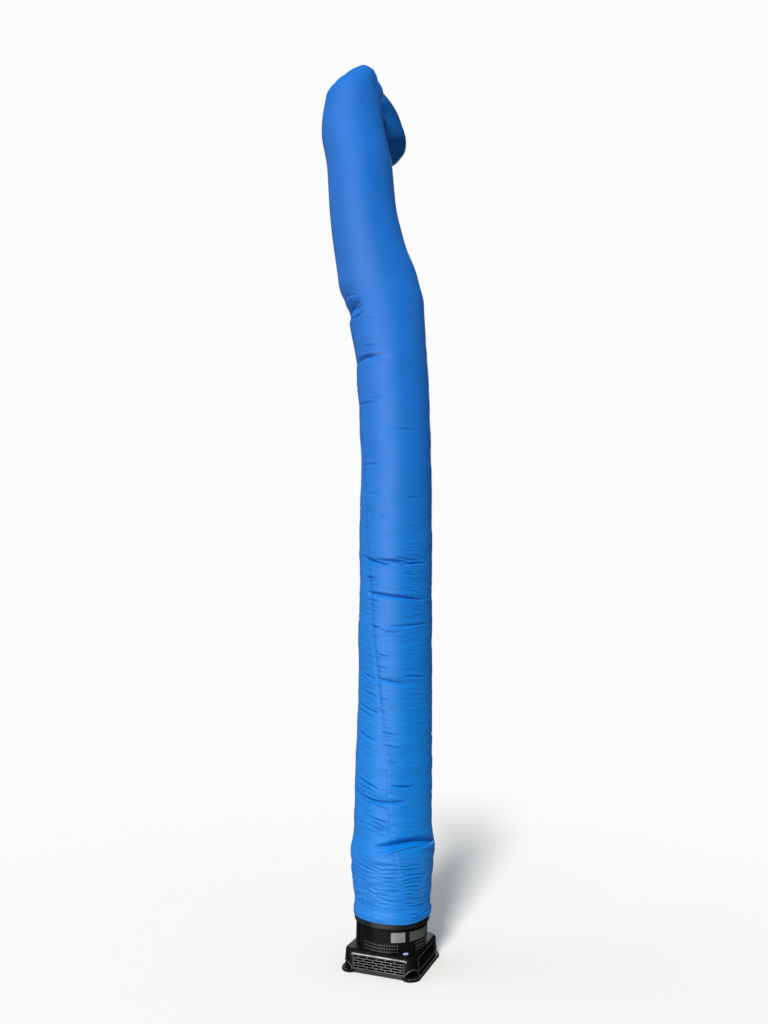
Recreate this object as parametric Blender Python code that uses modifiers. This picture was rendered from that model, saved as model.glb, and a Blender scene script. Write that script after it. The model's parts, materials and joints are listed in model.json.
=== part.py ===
"""Inflatable air dancer standing on its blower, at real size.

A plain one-legged nylon tube, 18 inches across when it is full, blown up from
a black moulded floor blower.  The tube leans, kinks once, and flops over
backwards near its closed end.

Units are metres and +Z is up.  The origin is on the floor under the middle of
the blower, whose sides run along X and Y.  The tube has a front of its own,
turned a little from the blower's: in the tube's own frame a place is given
as across (to the right), behind (away from its front) and height.
"""

from collections import namedtuple
from math import cos, pi, radians, sin

import bmesh
import bpy
from mathutils import Vector

OBJECT = "air_dancer_with_blower"
GAP = 0.0003  # between two pieces that touch

# ---------------------------------------------------------------- the cloth
CLOTH = 0.002  # thickness of the nylon, built a little thick
HEM_CLOTH = 0.004  # the hem is turned up, so it is double
HEM_DEPTH = 0.046
AROUND = 28  # facets round the tube
ANGLES = [-180 + 360 * i / AROUND for i in range(AROUND)]  # 0 is its front
ROW_CLEAR = 0.010  # between a plain row of facets and a fold's own rows
FOLD_ROWS = (-1.5, 0.0, 1.5)  # a fold's own rows, in its half heights
TUBE_TURN = radians(20.9)  # the tube's front, seen from the blower's front
SEAM_HEIGHT = 0.662  # the sleeve is sewn to the tube here
SEAM_HOLD = 0.012  # the folds start this far above it
SEAM_EASE = 0.025  # and reach their full depth this much higher

# The base sleeve is round: its radius at each height, from the hem up.
Ring = namedtuple("Ring", "height radius")
SLEEVE = [
    Ring(0.279, 0.2275),
    Ring(0.312, 0.2278),
    Ring(0.343, 0.2232),
    Ring(0.380, 0.2262),
    Ring(0.445, 0.2335),
    Ring(0.520, 0.2410),
    Ring(0.590, 0.2460),
    Ring(0.635, 0.2515),
    Ring(SEAM_HEIGHT, 0.2520),
]

# The tube stands on the sleeve.  Each row is one flat slice of it: where its
# middle is, and its half sizes.  Turn swings the slice round to the flop.
Slice = namedtuple("Slice", "height across behind half_width half_depth turn")
TUBE = [
    Slice(0.662, 0.000, 0.000, 0.2515, 0.2515, 0),
    Slice(0.674, 0.000, 0.000, 0.2515, 0.2515, 0),
    Slice(0.690, 0.000, 0.000, 0.2480, 0.2480, 0),
    Slice(0.735, 0.000, 0.000, 0.2395, 0.2400, 0),
    Slice(0.787, -0.001, 0.000, 0.2335, 0.2350, 0),
    Slice(1.100, 0.001, 0.000, 0.2335, 0.2280, 0),
    Slice(1.420, 0.005, 0.000, 0.2285, 0.2290, 0),
    Slice(1.710, 0.006, 0.000, 0.2265, 0.2310, 0),
    Slice(1.900, 0.001, 0.000, 0.2295, 0.2280, 0),
    Slice(2.155, 0.003, 0.000, 0.2260, 0.2310, 0),
    Slice(2.450, 0.000, 0.000, 0.2295, 0.2280, 0),
    Slice(2.720, -0.001, 0.000, 0.2290, 0.2290, 0),
    Slice(2.980, -0.001, 0.001, 0.2250, 0.2320, 0),
    Slice(3.160, -0.010, 0.002, 0.2285, 0.2290, 0),
    Slice(3.360, -0.018, 0.003, 0.2300, 0.2275, 0),
    Slice(3.520, -0.029, 0.004, 0.2340, 0.2240, 0),
    Slice(3.640, -0.035, 0.005, 0.2320, 0.2250, 0),
    Slice(3.800, -0.054, 0.006, 0.2400, 0.2180, 0),
    Slice(3.900, -0.067, 0.007, 0.2470, 0.2120, 0),
    Slice(4.010, -0.079, 0.008, 0.2520, 0.2080, 0),
    Slice(4.090, -0.093, 0.009, 0.2615, 0.2040, 0),
    Slice(4.170, -0.121, 0.010, 0.2690, 0.2040, 0),
    Slice(4.300, -0.149, 0.012, 0.2620, 0.2120, 0),
    Slice(4.430, -0.186, 0.014, 0.2460, 0.2220, 0),
    Slice(4.560, -0.214, 0.017, 0.2370, 0.2260, 0),
    Slice(4.730, -0.243, 0.022, 0.2270, 0.2310, 0),
    Slice(4.900, -0.259, 0.028, 0.2240, 0.2310, 0),
    Slice(5.060, -0.273, 0.035, 0.2230, 0.2280, 4),
    Slice(5.180, -0.295, 0.040, 0.2225, 0.2140, 9),
    Slice(5.290, -0.318, 0.044, 0.2215, 0.2000, 14),
    Slice(5.420, -0.328, 0.047, 0.2120, 0.1910, 18),
    Slice(5.580, -0.3202, 0.0497, 0.1960, 0.1900, 20),
]

# At the top the tube folds over a hinge line.  Each row is the slice that has
# been tipped that far over it.  Slant lifts the right end of the hinge line,
# and shift moves the slice to the right along it.
Tipped = namedtuple("Tipped", "tip half_width half_depth slant shift")
HINGE_ACROSS, HINGE_BEHIND, HINGE_HEIGHT = -0.246, 0.254, 5.580
HINGE_RADIUS = 0.027  # inside the fold
FLOP_TURN = radians(20)  # the flop heads back and to the right
FOLD_OVER = [
    Tipped(0, 0.196, 0.190, 0, 0.000),
    Tipped(45, 0.155, 0.148, 13, 0.053),
    Tipped(90, 0.187, 0.164, 24, 0.001),
    Tipped(135, 0.197, 0.167, 19, 0.004),
    Tipped(180, 0.206, 0.189, 12, -0.002),
]
FOLD_STEPS = 8

# The flop hangs from the fold: each row is a slice that much further down.
Hanging = namedtuple("Hanging", "drop half_width half_depth")
FLOP = [
    Hanging(0.055, 0.2130, 0.1960),
    Hanging(0.120, 0.2100, 0.1930),
    Hanging(0.175, 0.1900, 0.1750),
    Hanging(0.220, 0.1480, 0.1360),
    Hanging(0.250, 0.0850, 0.0780),
    Hanging(0.262, 0.0000, 0.0000),
]

# The main folds of the tube.  Each is a soft trough round part of it, centred
# at an angle from its front (+ is to the right).  Climb is how much higher its
# right end is, and arch how much lower both ends are than the middle.
Fold = namedtuple("Fold", "height at half_angle depth half_height climb arch")
LEVEL_OUT = 60  # a fold's line is level again this many degrees past its end
FOLDS = [
    Fold(0.742, 12, 88, 0.020, 0.030, 0.000, 0.052),
    Fold(0.945, -25, 50, 0.009, 0.028, -0.012, -0.016),
    Fold(1.630, -5, 48, 0.009, 0.028, -0.018, 0.000),
    Fold(2.130, -3, 52, 0.010, 0.028, -0.020, 0.000),
    Fold(2.320, -3, 60, 0.012, 0.030, 0.000, -0.034),
    Fold(3.642, -46, 44, 0.012, 0.030, -0.010, 0.000),
    Fold(3.995, -74, 34, 0.022, 0.036, 0.008, 0.000),
]

# -------------------------------------------------------------- the blower
OVERSHOOT = 0.05  # how far a cutter runs past the face that it cuts
SOFT_EDGE = 0.002
SHARP_ABOVE = radians(40)  # edges that bend more than this look sharp

HOUSE_HALF = 0.218  # the square base housing, at its top edge
HOUSE_DRAFT = 1.016  # and this much wider at its bottom
HOUSE_TOP = 0.122
HOUSE_CORNER = 0.052
HOUSE_EDGE = 0.018
PAD_WIDTH, PAD_LENGTH = 0.240, 0.300  # the underside's flat middle
PAD_SUNK = 0.004  # into the housing that it is part of

RUNNER_HEIGHT = 0.014  # two flat runners carry the housing
RUNNER_OUT = 0.2355
RUNNER_IN = 0.158
RUNNER_CORNER = 0.064

NICHE_RADIUS = 0.042  # the arch cut in each corner, over the foot
NICHE_HEIGHT = 0.012
NICHE_REACH = 0.252  # from the middle of the blower to its back wall
NICHE_SIDES = 20
CORNERS = ["front_right", "back_right", "back_left", "front_left"]

GRILLE_WIDTH, GRILLE_LOW, GRILLE_HIGH = 0.316, 0.020, 0.107
GRILLE_PROUD = 0.0045
GRILLE_THICK = 0.010
GRILLE_SLOTS = 5
GRILLE_SLOT = 0.0075
GRILLE_SLOT_DEPTH = 0.007
GRILLE_MARGIN = 0.009

PANEL_WIDTH, PANEL_LOW, PANEL_HIGH = 0.310, 0.036, 0.104
PANEL_DEPTH = 0.006

DRUM_RADIUS = 0.210
DRUM_TOP = 0.2457
DRUM_SIDES = 96
LOUVRE_ROWS = 3
LOUVRE_LOW = 0.128
LOUVRE_PITCH = 0.017
LOUVRE_SLOT = 0.008
LOUVRE_DEPTH = 0.008
LOUVRE_HALF_ANGLE = 30.5

POST_WIDTH, POST_PROUD = 0.014, 0.008  # an upright post at each corner
POST_LOW, POST_HIGH = 0.1223, 0.2440

COLLAR_RADIUS = 0.2215  # the outlet collar and the neck inside the sleeve
COLLAR_FOOT = 0.2155
COLLAR_LOW, COLLAR_CHAMFER, COLLAR_STEP = 0.2460, 0.2530, 0.2850
NECK_RADIUS = 0.2193
NECK_FOOT = 0.2872
NECK_TOP = 0.3520
NECK_EDGE = 0.006

Plate = namedtuple("Plate", "name start stop low high")
PLATE_THICK = 0.0008
PLATES = [
    Plate("rating_plate", 18.75, 41.25, 0.1785, 0.2310),
    Plate("care_plate", 48.75, 97.50, 0.1785, 0.2295),
]

BUTTON_LENGTH, BUTTON_WIDTH, BUTTON_HEIGHT = 0.031, 0.018, 0.007
BUTTON_AT, BUTTON_REACH = 40.0, 0.233
BUTTON_SIDES = 24

GLAND_RADIUS, GLAND_TIP_RADIUS, GLAND_LENGTH = 0.011, 0.00825, 0.020
GLAND_SIDES = 24
GLAND_ALONG, GLAND_HEIGHT = 0.095, 0.066


# ------------------------------------------------------------------ helpers
def clear_scene():
    for item in list(bpy.data.objects):
        bpy.data.objects.remove(item, do_unlink=True)


def collection(name):
    made = bpy.data.collections.new(name)
    bpy.context.scene.collection.children.link(made)
    return made


def material(name, colour, roughness, metallic=0.0):
    made = bpy.data.materials.new(name)
    made.use_nodes = True
    shader = made.node_tree.nodes["Principled BSDF"]
    shader.inputs["Base Color"].default_value = (*colour, 1.0)
    shader.inputs["Roughness"].default_value = roughness
    shader.inputs["Metallic"].default_value = metallic
    made.diffuse_color = (*colour, 1.0)
    return made


def add_object(name, mesh, where, finish=None):
    item = bpy.data.objects.new(name, mesh)
    where.objects.link(item)
    if finish:
        mesh.materials.append(finish)
        mesh.shade_smooth()
        mesh.set_sharp_from_angle(angle=SHARP_ABOVE)
    return item


def mesh_from(build):
    """The mesh that build(bm) draws, with its faces turned outwards."""
    bm = bmesh.new()
    build(bm)
    bmesh.ops.recalc_face_normals(bm, faces=bm.faces)
    mesh = bpy.data.meshes.new("mesh")
    bm.to_mesh(mesh)
    bm.free()
    return mesh


def block_mesh(corner, opposite):
    """A box between two opposite corners."""
    low = [min(pair) for pair in zip(corner, opposite)]
    high = [max(pair) for pair in zip(corner, opposite)]

    def build(bm):
        bmesh.ops.create_cube(bm, size=1.0)
        for v in bm.verts:
            v.co = [high[i] if v.co[i] > 0 else low[i] for i in range(3)]

    return mesh_from(build)


def upright_mesh(radius_low, radius_high, height, sides):
    """A cylinder or cone round Z, centred on its own middle."""

    def build(bm):
        bmesh.ops.create_cone(
            bm, cap_ends=True, segments=sides, radius1=radius_low,
            radius2=radius_high, depth=height,
        )

    return mesh_from(build)


def combine(item, name, mesh, cutters, operation="DIFFERENCE"):
    """Cut a shape out of an item, or join it on.  Returns the cutter."""
    cutter = add_object(name, mesh, cutters)
    cutter.hide_render = True
    cutter.display_type = "WIRE"
    step = item.modifiers.new(name, "BOOLEAN")
    step.operation = operation
    step.object = cutter
    step.solver = "EXACT"
    return cutter


def soften(item, segments=2):
    step = item.modifiers.new("edges", "BEVEL")
    step.width = SOFT_EDGE
    step.segments = segments
    step.limit_method = "ANGLE"
    step.angle_limit = radians(30)


def turned(name, profile, sides, where, finish):
    """A solid turned round Z from (radius, height) points, top to bottom."""
    mesh = bpy.data.meshes.new(name)
    points = [(radius, 0.0, height) for radius, height in profile]
    edges = [(i, i + 1) for i in range(len(points) - 1)]
    mesh.from_pydata(points, edges, [])
    item = add_object(name, mesh, where, finish)
    spin = item.modifiers.new("turn", "SCREW")
    spin.steps = sides
    spin.render_steps = sides
    spin.use_merge_vertices = True
    spin.use_smooth_shade = False
    spin.merge_threshold = 0.0001
    return item


def on_circle(radius, heading):
    """A place on a circle round Z; heading 0 is the front, 90 the right."""
    turn = radians(heading)
    return Vector((radius * sin(turn), -radius * cos(turn), 0.0))


def arc_block_mesh(inner, outer, low, high, start, stop):
    """A block bent round Z, between two radii, heights and headings."""
    steps = round((stop - start) / 360 * DRUM_SIDES)

    def build(bm):
        corners = [(inner, low), (outer, low), (outer, high), (inner, high)]
        face = bm.faces.new(
            [
                bm.verts.new(on_circle(radius, start) + Vector((0, 0, height)))
                for radius, height in corners
            ]
        )
        bmesh.ops.spin(
            bm, geom=[*face.verts, *face.edges, face], cent=(0, 0, 0),
            axis=(0, 0, 1), angle=radians(stop - start), steps=steps,
        )

    return mesh_from(build)


def smooth_rows(rows, at):
    """A row read at any place in a table, on a smooth curve.

    The table's first column is the place, and each other column is a value.
    """
    if at <= rows[0][0]:
        return rows[0]
    if at >= rows[-1][0]:
        return rows[-1]
    k = max(i for i, row in enumerate(rows) if row[0] <= at)
    before, low = rows[max(k - 1, 0)], rows[k]
    high, after = rows[k + 1], rows[min(k + 2, len(rows) - 1)]
    span = high[0] - low[0]
    t = (at - low[0]) / span
    values = [at]
    for i in range(1, len(low)):
        slope_low = (high[i] - before[i]) / (high[0] - before[0]) * span
        slope_high = (after[i] - low[i]) / (after[0] - low[0]) * span
        values.append(
            (2 * t**3 - 3 * t**2 + 1) * low[i]
            + (t**3 - 2 * t**2 + t) * slope_low
            + (3 * t**2 - 2 * t**3) * high[i]
            + (t**3 - t**2) * slope_high
        )
    return type(low)(*values)


# -------------------------------------------------------------- cloth shape
def own_frame(across, behind, height):
    """A place in the tube's own frame, as a place in the part."""
    return Vector(
        (
            across * cos(TUBE_TURN) - behind * sin(TUBE_TURN),
            across * sin(TUBE_TURN) + behind * cos(TUBE_TURN),
            height,
        )
    )


def fold_line(fold, angle):
    """The height of a fold's line at an angle; it levels out past its ends."""
    past = (angle - fold.at) / fold.half_angle
    inside = max(-1.0, min(1.0, past))
    beyond = max(0.0, (abs(past) - 1) * fold.half_angle / LEVEL_OUT)
    shift = fold.climb * inside - fold.arch * inside**2
    return fold.height + shift * max(0.0, 1 - beyond)


def trough(height, angle):
    """How far the folds push the cloth in; the sleeve's seam holds it out."""
    above = (height - SEAM_HEIGHT - SEAM_HOLD) / SEAM_EASE
    free = max(0.0, min(1.0, above))
    depth = 0.0
    for fold in FOLDS:
        past = (angle - fold.at) / fold.half_angle
        off = (height - fold_line(fold, angle)) / (2 * fold.half_height)
        if abs(past) < 1 and abs(off) < 1:
            depth += fold.depth * cos(pi * off / 2) ** 2 * (1 - past**4)
    return depth * free


def row_heights():
    """Each row of facets up the tube, as a list with a height per angle."""
    bottom = TUBE[0].height + GAP
    rows = []
    for fold in FOLDS:
        for offset in FOLD_ROWS:
            shift = offset * fold.half_height
            line = [fold_line(fold, angle) + shift for angle in ANGLES]
            if min(line) > bottom + ROW_CLEAR:
                rows.append(line)
    for height in [bottom] + [row.height for row in TUBE[1:]]:
        apart = [
            height < min(line) - ROW_CLEAR or height > max(line) + ROW_CLEAR
            for line in rows
        ]
        if all(apart):
            rows.append([height] * AROUND)
    return sorted(rows, key=sum)


# A section is one slice in place: its middle, the ways that its width and its
# depth run, and its half sizes.
Section = namedtuple("Section", "middle width_axis depth_axis half_width half_depth")


def on_section(section, angle, push=0.0):
    """A place on a section's outline, pushed in.  Angle 0 is its front."""
    middle, width_axis, depth_axis, half_width, half_depth = section
    right, front = sin(radians(angle)), cos(radians(angle))
    outward = width_axis * (right / half_width) - depth_axis * (front / half_depth)
    place = middle + width_axis * half_width * right - depth_axis * half_depth * front
    return place - outward.normalized() * push


def ring_of(section):
    return [on_section(section, angle) for angle in ANGLES]


def shaft_section(height):
    here = smooth_rows(TUBE, height)
    turn = radians(here.turn)
    return Section(
        own_frame(here.across, here.behind, height),
        own_frame(cos(turn), -sin(turn), 0),
        own_frame(sin(turn), cos(turn), 0),
        here.half_width,
        here.half_depth,
    )


def hinge_axes(slant):
    """The hinge line, the level way the flop heads, and up between them."""
    level = own_frame(cos(FLOP_TURN), -sin(FLOP_TURN), 0)
    heading = own_frame(sin(FLOP_TURN), cos(FLOP_TURN), 0)
    rise = Vector((0, 0, 1))
    along = level * cos(radians(slant)) + rise * sin(radians(slant))
    up = rise * cos(radians(slant)) - level * sin(radians(slant))
    return along, heading, up


def tipped_section(tip):
    """The slice that has been tipped that many degrees over the hinge."""
    here = smooth_rows(FOLD_OVER, tip)
    along, heading, up = hinge_axes(here.slant)
    inwards = heading * cos(radians(tip)) - up * sin(radians(tip))
    hinge = own_frame(HINGE_ACROSS, HINGE_BEHIND, HINGE_HEIGHT)
    middle = hinge - inwards * (HINGE_RADIUS + here.half_depth) + along * here.shift
    return Section(middle, along, inwards, here.half_width, here.half_depth)


def hanging_section(row):
    """A slice of the flop, upside down below the fold."""
    last = tipped_section(FOLD_OVER[-1].tip)
    up = hinge_axes(FOLD_OVER[-1].slant)[2]
    return last._replace(
        middle=last.middle - up * row.drop,
        half_width=row.half_width,
        half_depth=row.half_depth,
    )


def tube_rings():
    rings = []
    for line in row_heights():
        places = zip(ANGLES, line)
        rings.append(
            [on_section(shaft_section(z), angle, trough(z, angle)) for angle, z in places]
        )
    for i in range(1, FOLD_STEPS + 1):
        rings.append(ring_of(tipped_section(FOLD_OVER[-1].tip * i / FOLD_STEPS)))
    rings += [ring_of(hanging_section(row)) for row in FLOP[:-1]]
    return rings


def loft(bm, rings, closed=False):
    """Quads from ring to ring.  A closed loft joins the last to the first."""
    made = [[bm.verts.new(point) for point in ring] for ring in rings]
    pairs = list(zip(made, made[1:]))
    if closed:
        pairs.append((made[-1], made[0]))
    for low, high in pairs:
        for i in range(AROUND):
            j = (i + 1) % AROUND
            bm.faces.new((low[i], low[j], high[j], high[i]))
    return made


def make_tube(where, finish):
    """The tube: one sheet from the sleeve's seam to its closed end."""

    def build(bm):
        rim = loft(bm, tube_rings())[-1]
        tip = bm.verts.new(hanging_section(FLOP[-1]).middle)
        for i in range(AROUND):
            bm.faces.new((rim[i], rim[(i + 1) % AROUND], tip))

    item = add_object("dancer_tube", mesh_from(build), where, finish)
    shell = item.modifiers.new("cloth", "SOLIDIFY")
    shell.thickness = CLOTH
    shell.offset = -1
    return item


def make_sleeve(where, finish):
    """The base sleeve: its outside, then its inside, with the hem doubled."""
    hem = SLEEVE[0]
    hem_top = hem.height + HEM_DEPTH
    top_radius = smooth_rows(SLEEVE, hem_top).radius
    inside = [
        Ring(hem.height, hem.radius - HEM_CLOTH),
        Ring(hem_top - CLOTH, top_radius - HEM_CLOTH),
        Ring(hem_top, top_radius - CLOTH),
    ]
    for ring in SLEEVE:
        if ring.height > hem_top:
            inside.append(Ring(ring.height, ring.radius - CLOTH))

    def ring_at(height, radius):
        return ring_of(
            Section(
                own_frame(0, 0, height), own_frame(1, 0, 0), own_frame(0, 1, 0),
                radius, radius,
            )
        )

    def build(bm):
        loft(bm, [ring_at(*ring) for ring in SLEEVE + inside[::-1]], closed=True)

    return add_object("base_sleeve", mesh_from(build), where, finish)


# ------------------------------------------------------------- blower shape
def upright_edges(bm):
    return [e for e in bm.edges if e.verts[0].co.xy == e.verts[1].co.xy]


def housing_mesh():
    """A square box with drafted sides and rounded corners and top edges."""

    def build(bm):
        bmesh.ops.create_cube(bm, size=2.0)
        bmesh.ops.bevel(
            bm, geom=upright_edges(bm), offset=HOUSE_CORNER / HOUSE_HALF,
            segments=6, profile=0.5, affect="EDGES",
        )
        for v in bm.verts:
            high = v.co.z > 0
            half = HOUSE_HALF if high else HOUSE_HALF * HOUSE_DRAFT
            v.co.x *= half
            v.co.y *= half
            v.co.z = HOUSE_TOP if high else RUNNER_HEIGHT + GAP
        top = max(v.co.z for v in bm.verts)
        rim = [e for e in bm.edges if all(v.co.z == top for v in e.verts)]
        bmesh.ops.bevel(
            bm, geom=rim, offset=HOUSE_EDGE, segments=3, profile=0.5,
            affect="EDGES",
        )

    return mesh_from(build)


def make_housing(where, cutters, finish):
    """The base housing, with its corner niches, side panels and flat pad."""
    item = add_object("base_housing", housing_mesh(), where, finish)
    pad = block_mesh(
        (-PAD_WIDTH / 2, -PAD_LENGTH / 2, 0.0),
        (PAD_WIDTH / 2, PAD_LENGTH / 2, RUNNER_HEIGHT + PAD_SUNK),
    )
    combine(item, "underside_pad", pad, cutters, "UNION")

    for side, grille_side, panel_side in ((-1, "front", "left"), (1, "back", "right")):
        outside = side * (HOUSE_HALF + OVERSHOOT)
        seat = side * (HOUSE_HALF + GRILLE_PROUD - GRILLE_THICK - GAP)
        pocket = block_mesh(
            (-GRILLE_WIDTH / 2 - GAP, seat, GRILLE_LOW - GAP),
            (GRILLE_WIDTH / 2 + GAP, outside, GRILLE_HIGH + GAP),
        )
        combine(item, f"{grille_side}_grille_pocket", pocket, cutters)
        recess = block_mesh(
            (side * (HOUSE_HALF - PANEL_DEPTH), -PANEL_WIDTH / 2, PANEL_LOW),
            (outside, PANEL_WIDTH / 2, PANEL_HIGH),
        )
        combine(item, f"{panel_side}_panel_recess", recess, cutters)

    niche = upright_mesh(NICHE_RADIUS, NICHE_RADIUS, 2 * OVERSHOOT, NICHE_SIDES)
    for i, word in enumerate(CORNERS):
        heading = 45 + 90 * i
        cutter = combine(item, f"{word}_niche", niche, cutters)
        cutter.location = on_circle(NICHE_REACH + OVERSHOOT, heading)
        cutter.location.z = NICHE_HEIGHT
        cutter.rotation_euler = (pi / 2, 0, radians(heading))
    return item


def make_runner(side, where, finish):
    """A flat runner along one side, with its outer corners rounded off."""

    def build(bm):
        bmesh.ops.create_cube(bm, size=1.0)
        for v in bm.verts:
            v.co.x = RUNNER_OUT if v.co.x > 0 else RUNNER_IN
            v.co.y *= 2 * RUNNER_OUT
            v.co.z = RUNNER_HEIGHT if v.co.z > 0 else 0.0
        middle = (RUNNER_IN + RUNNER_OUT) / 2
        outer = [e for e in upright_edges(bm) if e.verts[0].co.x > middle]
        bmesh.ops.bevel(
            bm, geom=outer, offset=RUNNER_CORNER, segments=8, profile=0.5,
            affect="EDGES",
        )

    item = add_object(f"{side}_runner", mesh_from(build), where, finish)
    item.rotation_euler.z = 0 if side == "right" else pi
    return item


def make_grille(side, where, cutters, finish):
    """A grille that stands proud of the front or back, with level slots."""
    facing = -1 if side == "front" else 1
    outer = HOUSE_HALF + GRILLE_PROUD
    mesh = block_mesh(
        (-GRILLE_WIDTH / 2, facing * (outer - GRILLE_THICK), GRILLE_LOW),
        (GRILLE_WIDTH / 2, facing * outer, GRILLE_HIGH),
    )
    item = add_object(f"{side}_grille", mesh, where, finish)
    soften(item, segments=1)
    pitch = (GRILLE_HIGH - GRILLE_LOW - 2 * GRILLE_MARGIN) / (GRILLE_SLOTS - 1)
    reach = GRILLE_WIDTH / 2 - GRILLE_MARGIN
    for i in range(GRILLE_SLOTS):
        middle = GRILLE_LOW + GRILLE_MARGIN + pitch * i
        slot = block_mesh(
            (-reach, facing * (outer - GRILLE_SLOT_DEPTH), middle - GRILLE_SLOT / 2),
            (reach, facing * (outer + OVERSHOOT), middle + GRILLE_SLOT / 2),
        )
        combine(item, f"{side}_slot_{i + 1}", slot, cutters)
    return item


def make_drum(where, cutters, finish):
    """The round fan drum, with three rows of louvre slots on each side."""
    profile = [
        (0.0, DRUM_TOP),
        (DRUM_RADIUS, DRUM_TOP),
        (DRUM_RADIUS, HOUSE_TOP + GAP),
        (0.0, HOUSE_TOP + GAP),
    ]
    item = turned("fan_drum", profile, DRUM_SIDES, where, finish)
    for middle in (0, 90, 180, 270):
        start, stop = middle - LOUVRE_HALF_ANGLE, middle + LOUVRE_HALF_ANGLE
        for row in range(LOUVRE_ROWS):
            low = LOUVRE_LOW + LOUVRE_PITCH * row
            slot = arc_block_mesh(
                DRUM_RADIUS - LOUVRE_DEPTH, DRUM_RADIUS + OVERSHOOT,
                low, low + LOUVRE_SLOT, start, stop,
            )
            combine(item, f"louvre_{middle}_{row + 1}", slot, cutters)
    return item


def make_posts(where, finish):
    """An upright post on the drum over each corner of the housing."""
    mesh = block_mesh(
        (-POST_WIDTH / 2, -POST_PROUD, POST_LOW), (POST_WIDTH / 2, 0.0, POST_HIGH)
    )
    for i, word in enumerate(CORNERS):
        heading = 45 + 90 * i
        item = add_object(f"{word}_post", mesh.copy(), where, finish)
        item.location = on_circle(DRUM_RADIUS + GAP, heading)
        item.rotation_euler.z = radians(heading)
        soften(item)


def make_collar(where, finish):
    """The outlet collar, and the neck that the sleeve is drawn over."""
    profile = [
        (0.0, NECK_TOP),
        (NECK_RADIUS - NECK_EDGE, NECK_TOP),
        (NECK_RADIUS, NECK_TOP - NECK_EDGE),
        (NECK_RADIUS, NECK_FOOT),
        (COLLAR_RADIUS, COLLAR_STEP),
        (COLLAR_RADIUS, COLLAR_CHAMFER),
        (COLLAR_FOOT, COLLAR_LOW),
        (0.0, COLLAR_LOW),
    ]
    return turned("outlet_collar", profile, DRUM_SIDES, where, finish)


def make_plates(where, finish):
    """Two bare label plates, bent round the drum."""
    inner = DRUM_RADIUS + GAP
    for name, start, stop, low, high in PLATES:
        mesh = arc_block_mesh(inner, inner + PLATE_THICK, low, high, start, stop)
        add_object(name, mesh, where, finish)


def make_button(where, finish):
    """The small oval button on the housing's top, beside the drum."""
    mesh = upright_mesh(0.5, 0.5, BUTTON_HEIGHT, BUTTON_SIDES)
    for v in mesh.vertices:
        v.co.x *= BUTTON_LENGTH
        v.co.y *= BUTTON_WIDTH
    item = add_object("oval_button", mesh, where, finish)
    item.location = on_circle(BUTTON_REACH, BUTTON_AT)
    item.location.z = HOUSE_TOP + GAP + BUTTON_HEIGHT / 2
    item.rotation_euler.z = radians(BUTTON_AT)
    soften(item)
    return item


def make_gland(where, finish):
    """The gland for the supply cord, low on the left side's panel."""
    mesh = upright_mesh(GLAND_RADIUS, GLAND_TIP_RADIUS, GLAND_LENGTH, GLAND_SIDES)
    item = add_object("cord_gland", mesh, where, finish)
    seat = HOUSE_HALF - PANEL_DEPTH + GAP
    item.location = (-seat - GLAND_LENGTH / 2, GLAND_ALONG, GLAND_HEIGHT)
    item.rotation_euler.y = -pi / 2
    return item


# --------------------------------------------------------------------- main
def main():
    clear_scene()
    parts = collection(OBJECT)
    cutters = collection("cutters")

    nylon = material("blue_nylon", (0.02, 0.17, 0.68), 0.55)
    housing = material("black_housing_plastic", (0.022, 0.023, 0.025), 0.50)
    grille = material("grey_grille_plastic", (0.050, 0.051, 0.053), 0.45)
    label = material("bare_label_film", (0.55, 0.56, 0.55), 0.40)
    button = material("pale_blue_button", (0.45, 0.60, 0.85), 0.25)
    rubber = material("black_rubber", (0.015, 0.015, 0.015), 0.80)

    make_tube(parts, nylon)
    make_sleeve(parts, nylon)
    make_collar(parts, housing)
    make_drum(parts, cutters, housing)
    make_posts(parts, housing)
    make_housing(parts, cutters, housing)
    make_runner("left", parts, housing)
    make_runner("right", parts, housing)
    make_grille("front", parts, cutters, grille)
    make_grille("back", parts, cutters, grille)
    make_plates(parts, label)
    make_button(parts, button)
    make_gland(parts, rubber)


main()
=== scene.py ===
# %% [markdown]
# # An air dancer on its blower
#
# An air dancer is one long nylon tube, sewn shut at its top end and tied over
# the round outlet of a floor blower. The air holds it up, and it leans, kinks
# and flops over as it dances. This lesson builds its looks around a finished
# CAD model. The CAD solids give every size and place, and the pieces made
# here lie on them, so the first step loads that model.

# %% Load the frame
import json
from collections import namedtuple
from math import cos, pi, radians, sin, sqrt, tan

import bmesh
import bpy
import numpy as np
from mathutils import Euler, Matrix, Vector


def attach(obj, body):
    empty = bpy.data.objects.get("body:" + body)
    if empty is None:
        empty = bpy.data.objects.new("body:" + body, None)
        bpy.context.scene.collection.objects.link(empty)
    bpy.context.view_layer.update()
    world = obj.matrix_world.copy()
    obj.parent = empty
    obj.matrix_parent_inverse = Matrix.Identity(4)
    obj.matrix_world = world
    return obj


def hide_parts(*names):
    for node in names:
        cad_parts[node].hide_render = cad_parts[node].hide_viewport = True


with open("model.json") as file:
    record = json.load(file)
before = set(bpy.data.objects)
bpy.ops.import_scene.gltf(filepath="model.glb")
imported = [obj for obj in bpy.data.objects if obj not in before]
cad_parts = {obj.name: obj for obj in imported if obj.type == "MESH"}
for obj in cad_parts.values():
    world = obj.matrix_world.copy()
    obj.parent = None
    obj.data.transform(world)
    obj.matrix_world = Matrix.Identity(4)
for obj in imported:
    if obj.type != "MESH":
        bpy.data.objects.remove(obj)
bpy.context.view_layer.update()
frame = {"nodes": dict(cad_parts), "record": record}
nodes = frame["nodes"]

# %% [markdown]
# ## The view
#
# A tube nearly six metres tall needs a camera that stands back and looks up a
# little. A short lens close by would stretch the top, and a long one far away
# would flatten it. The camera stands five metres off, at eye height, and a
# slight roll keeps the tube as upright as it looks from there.

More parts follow.
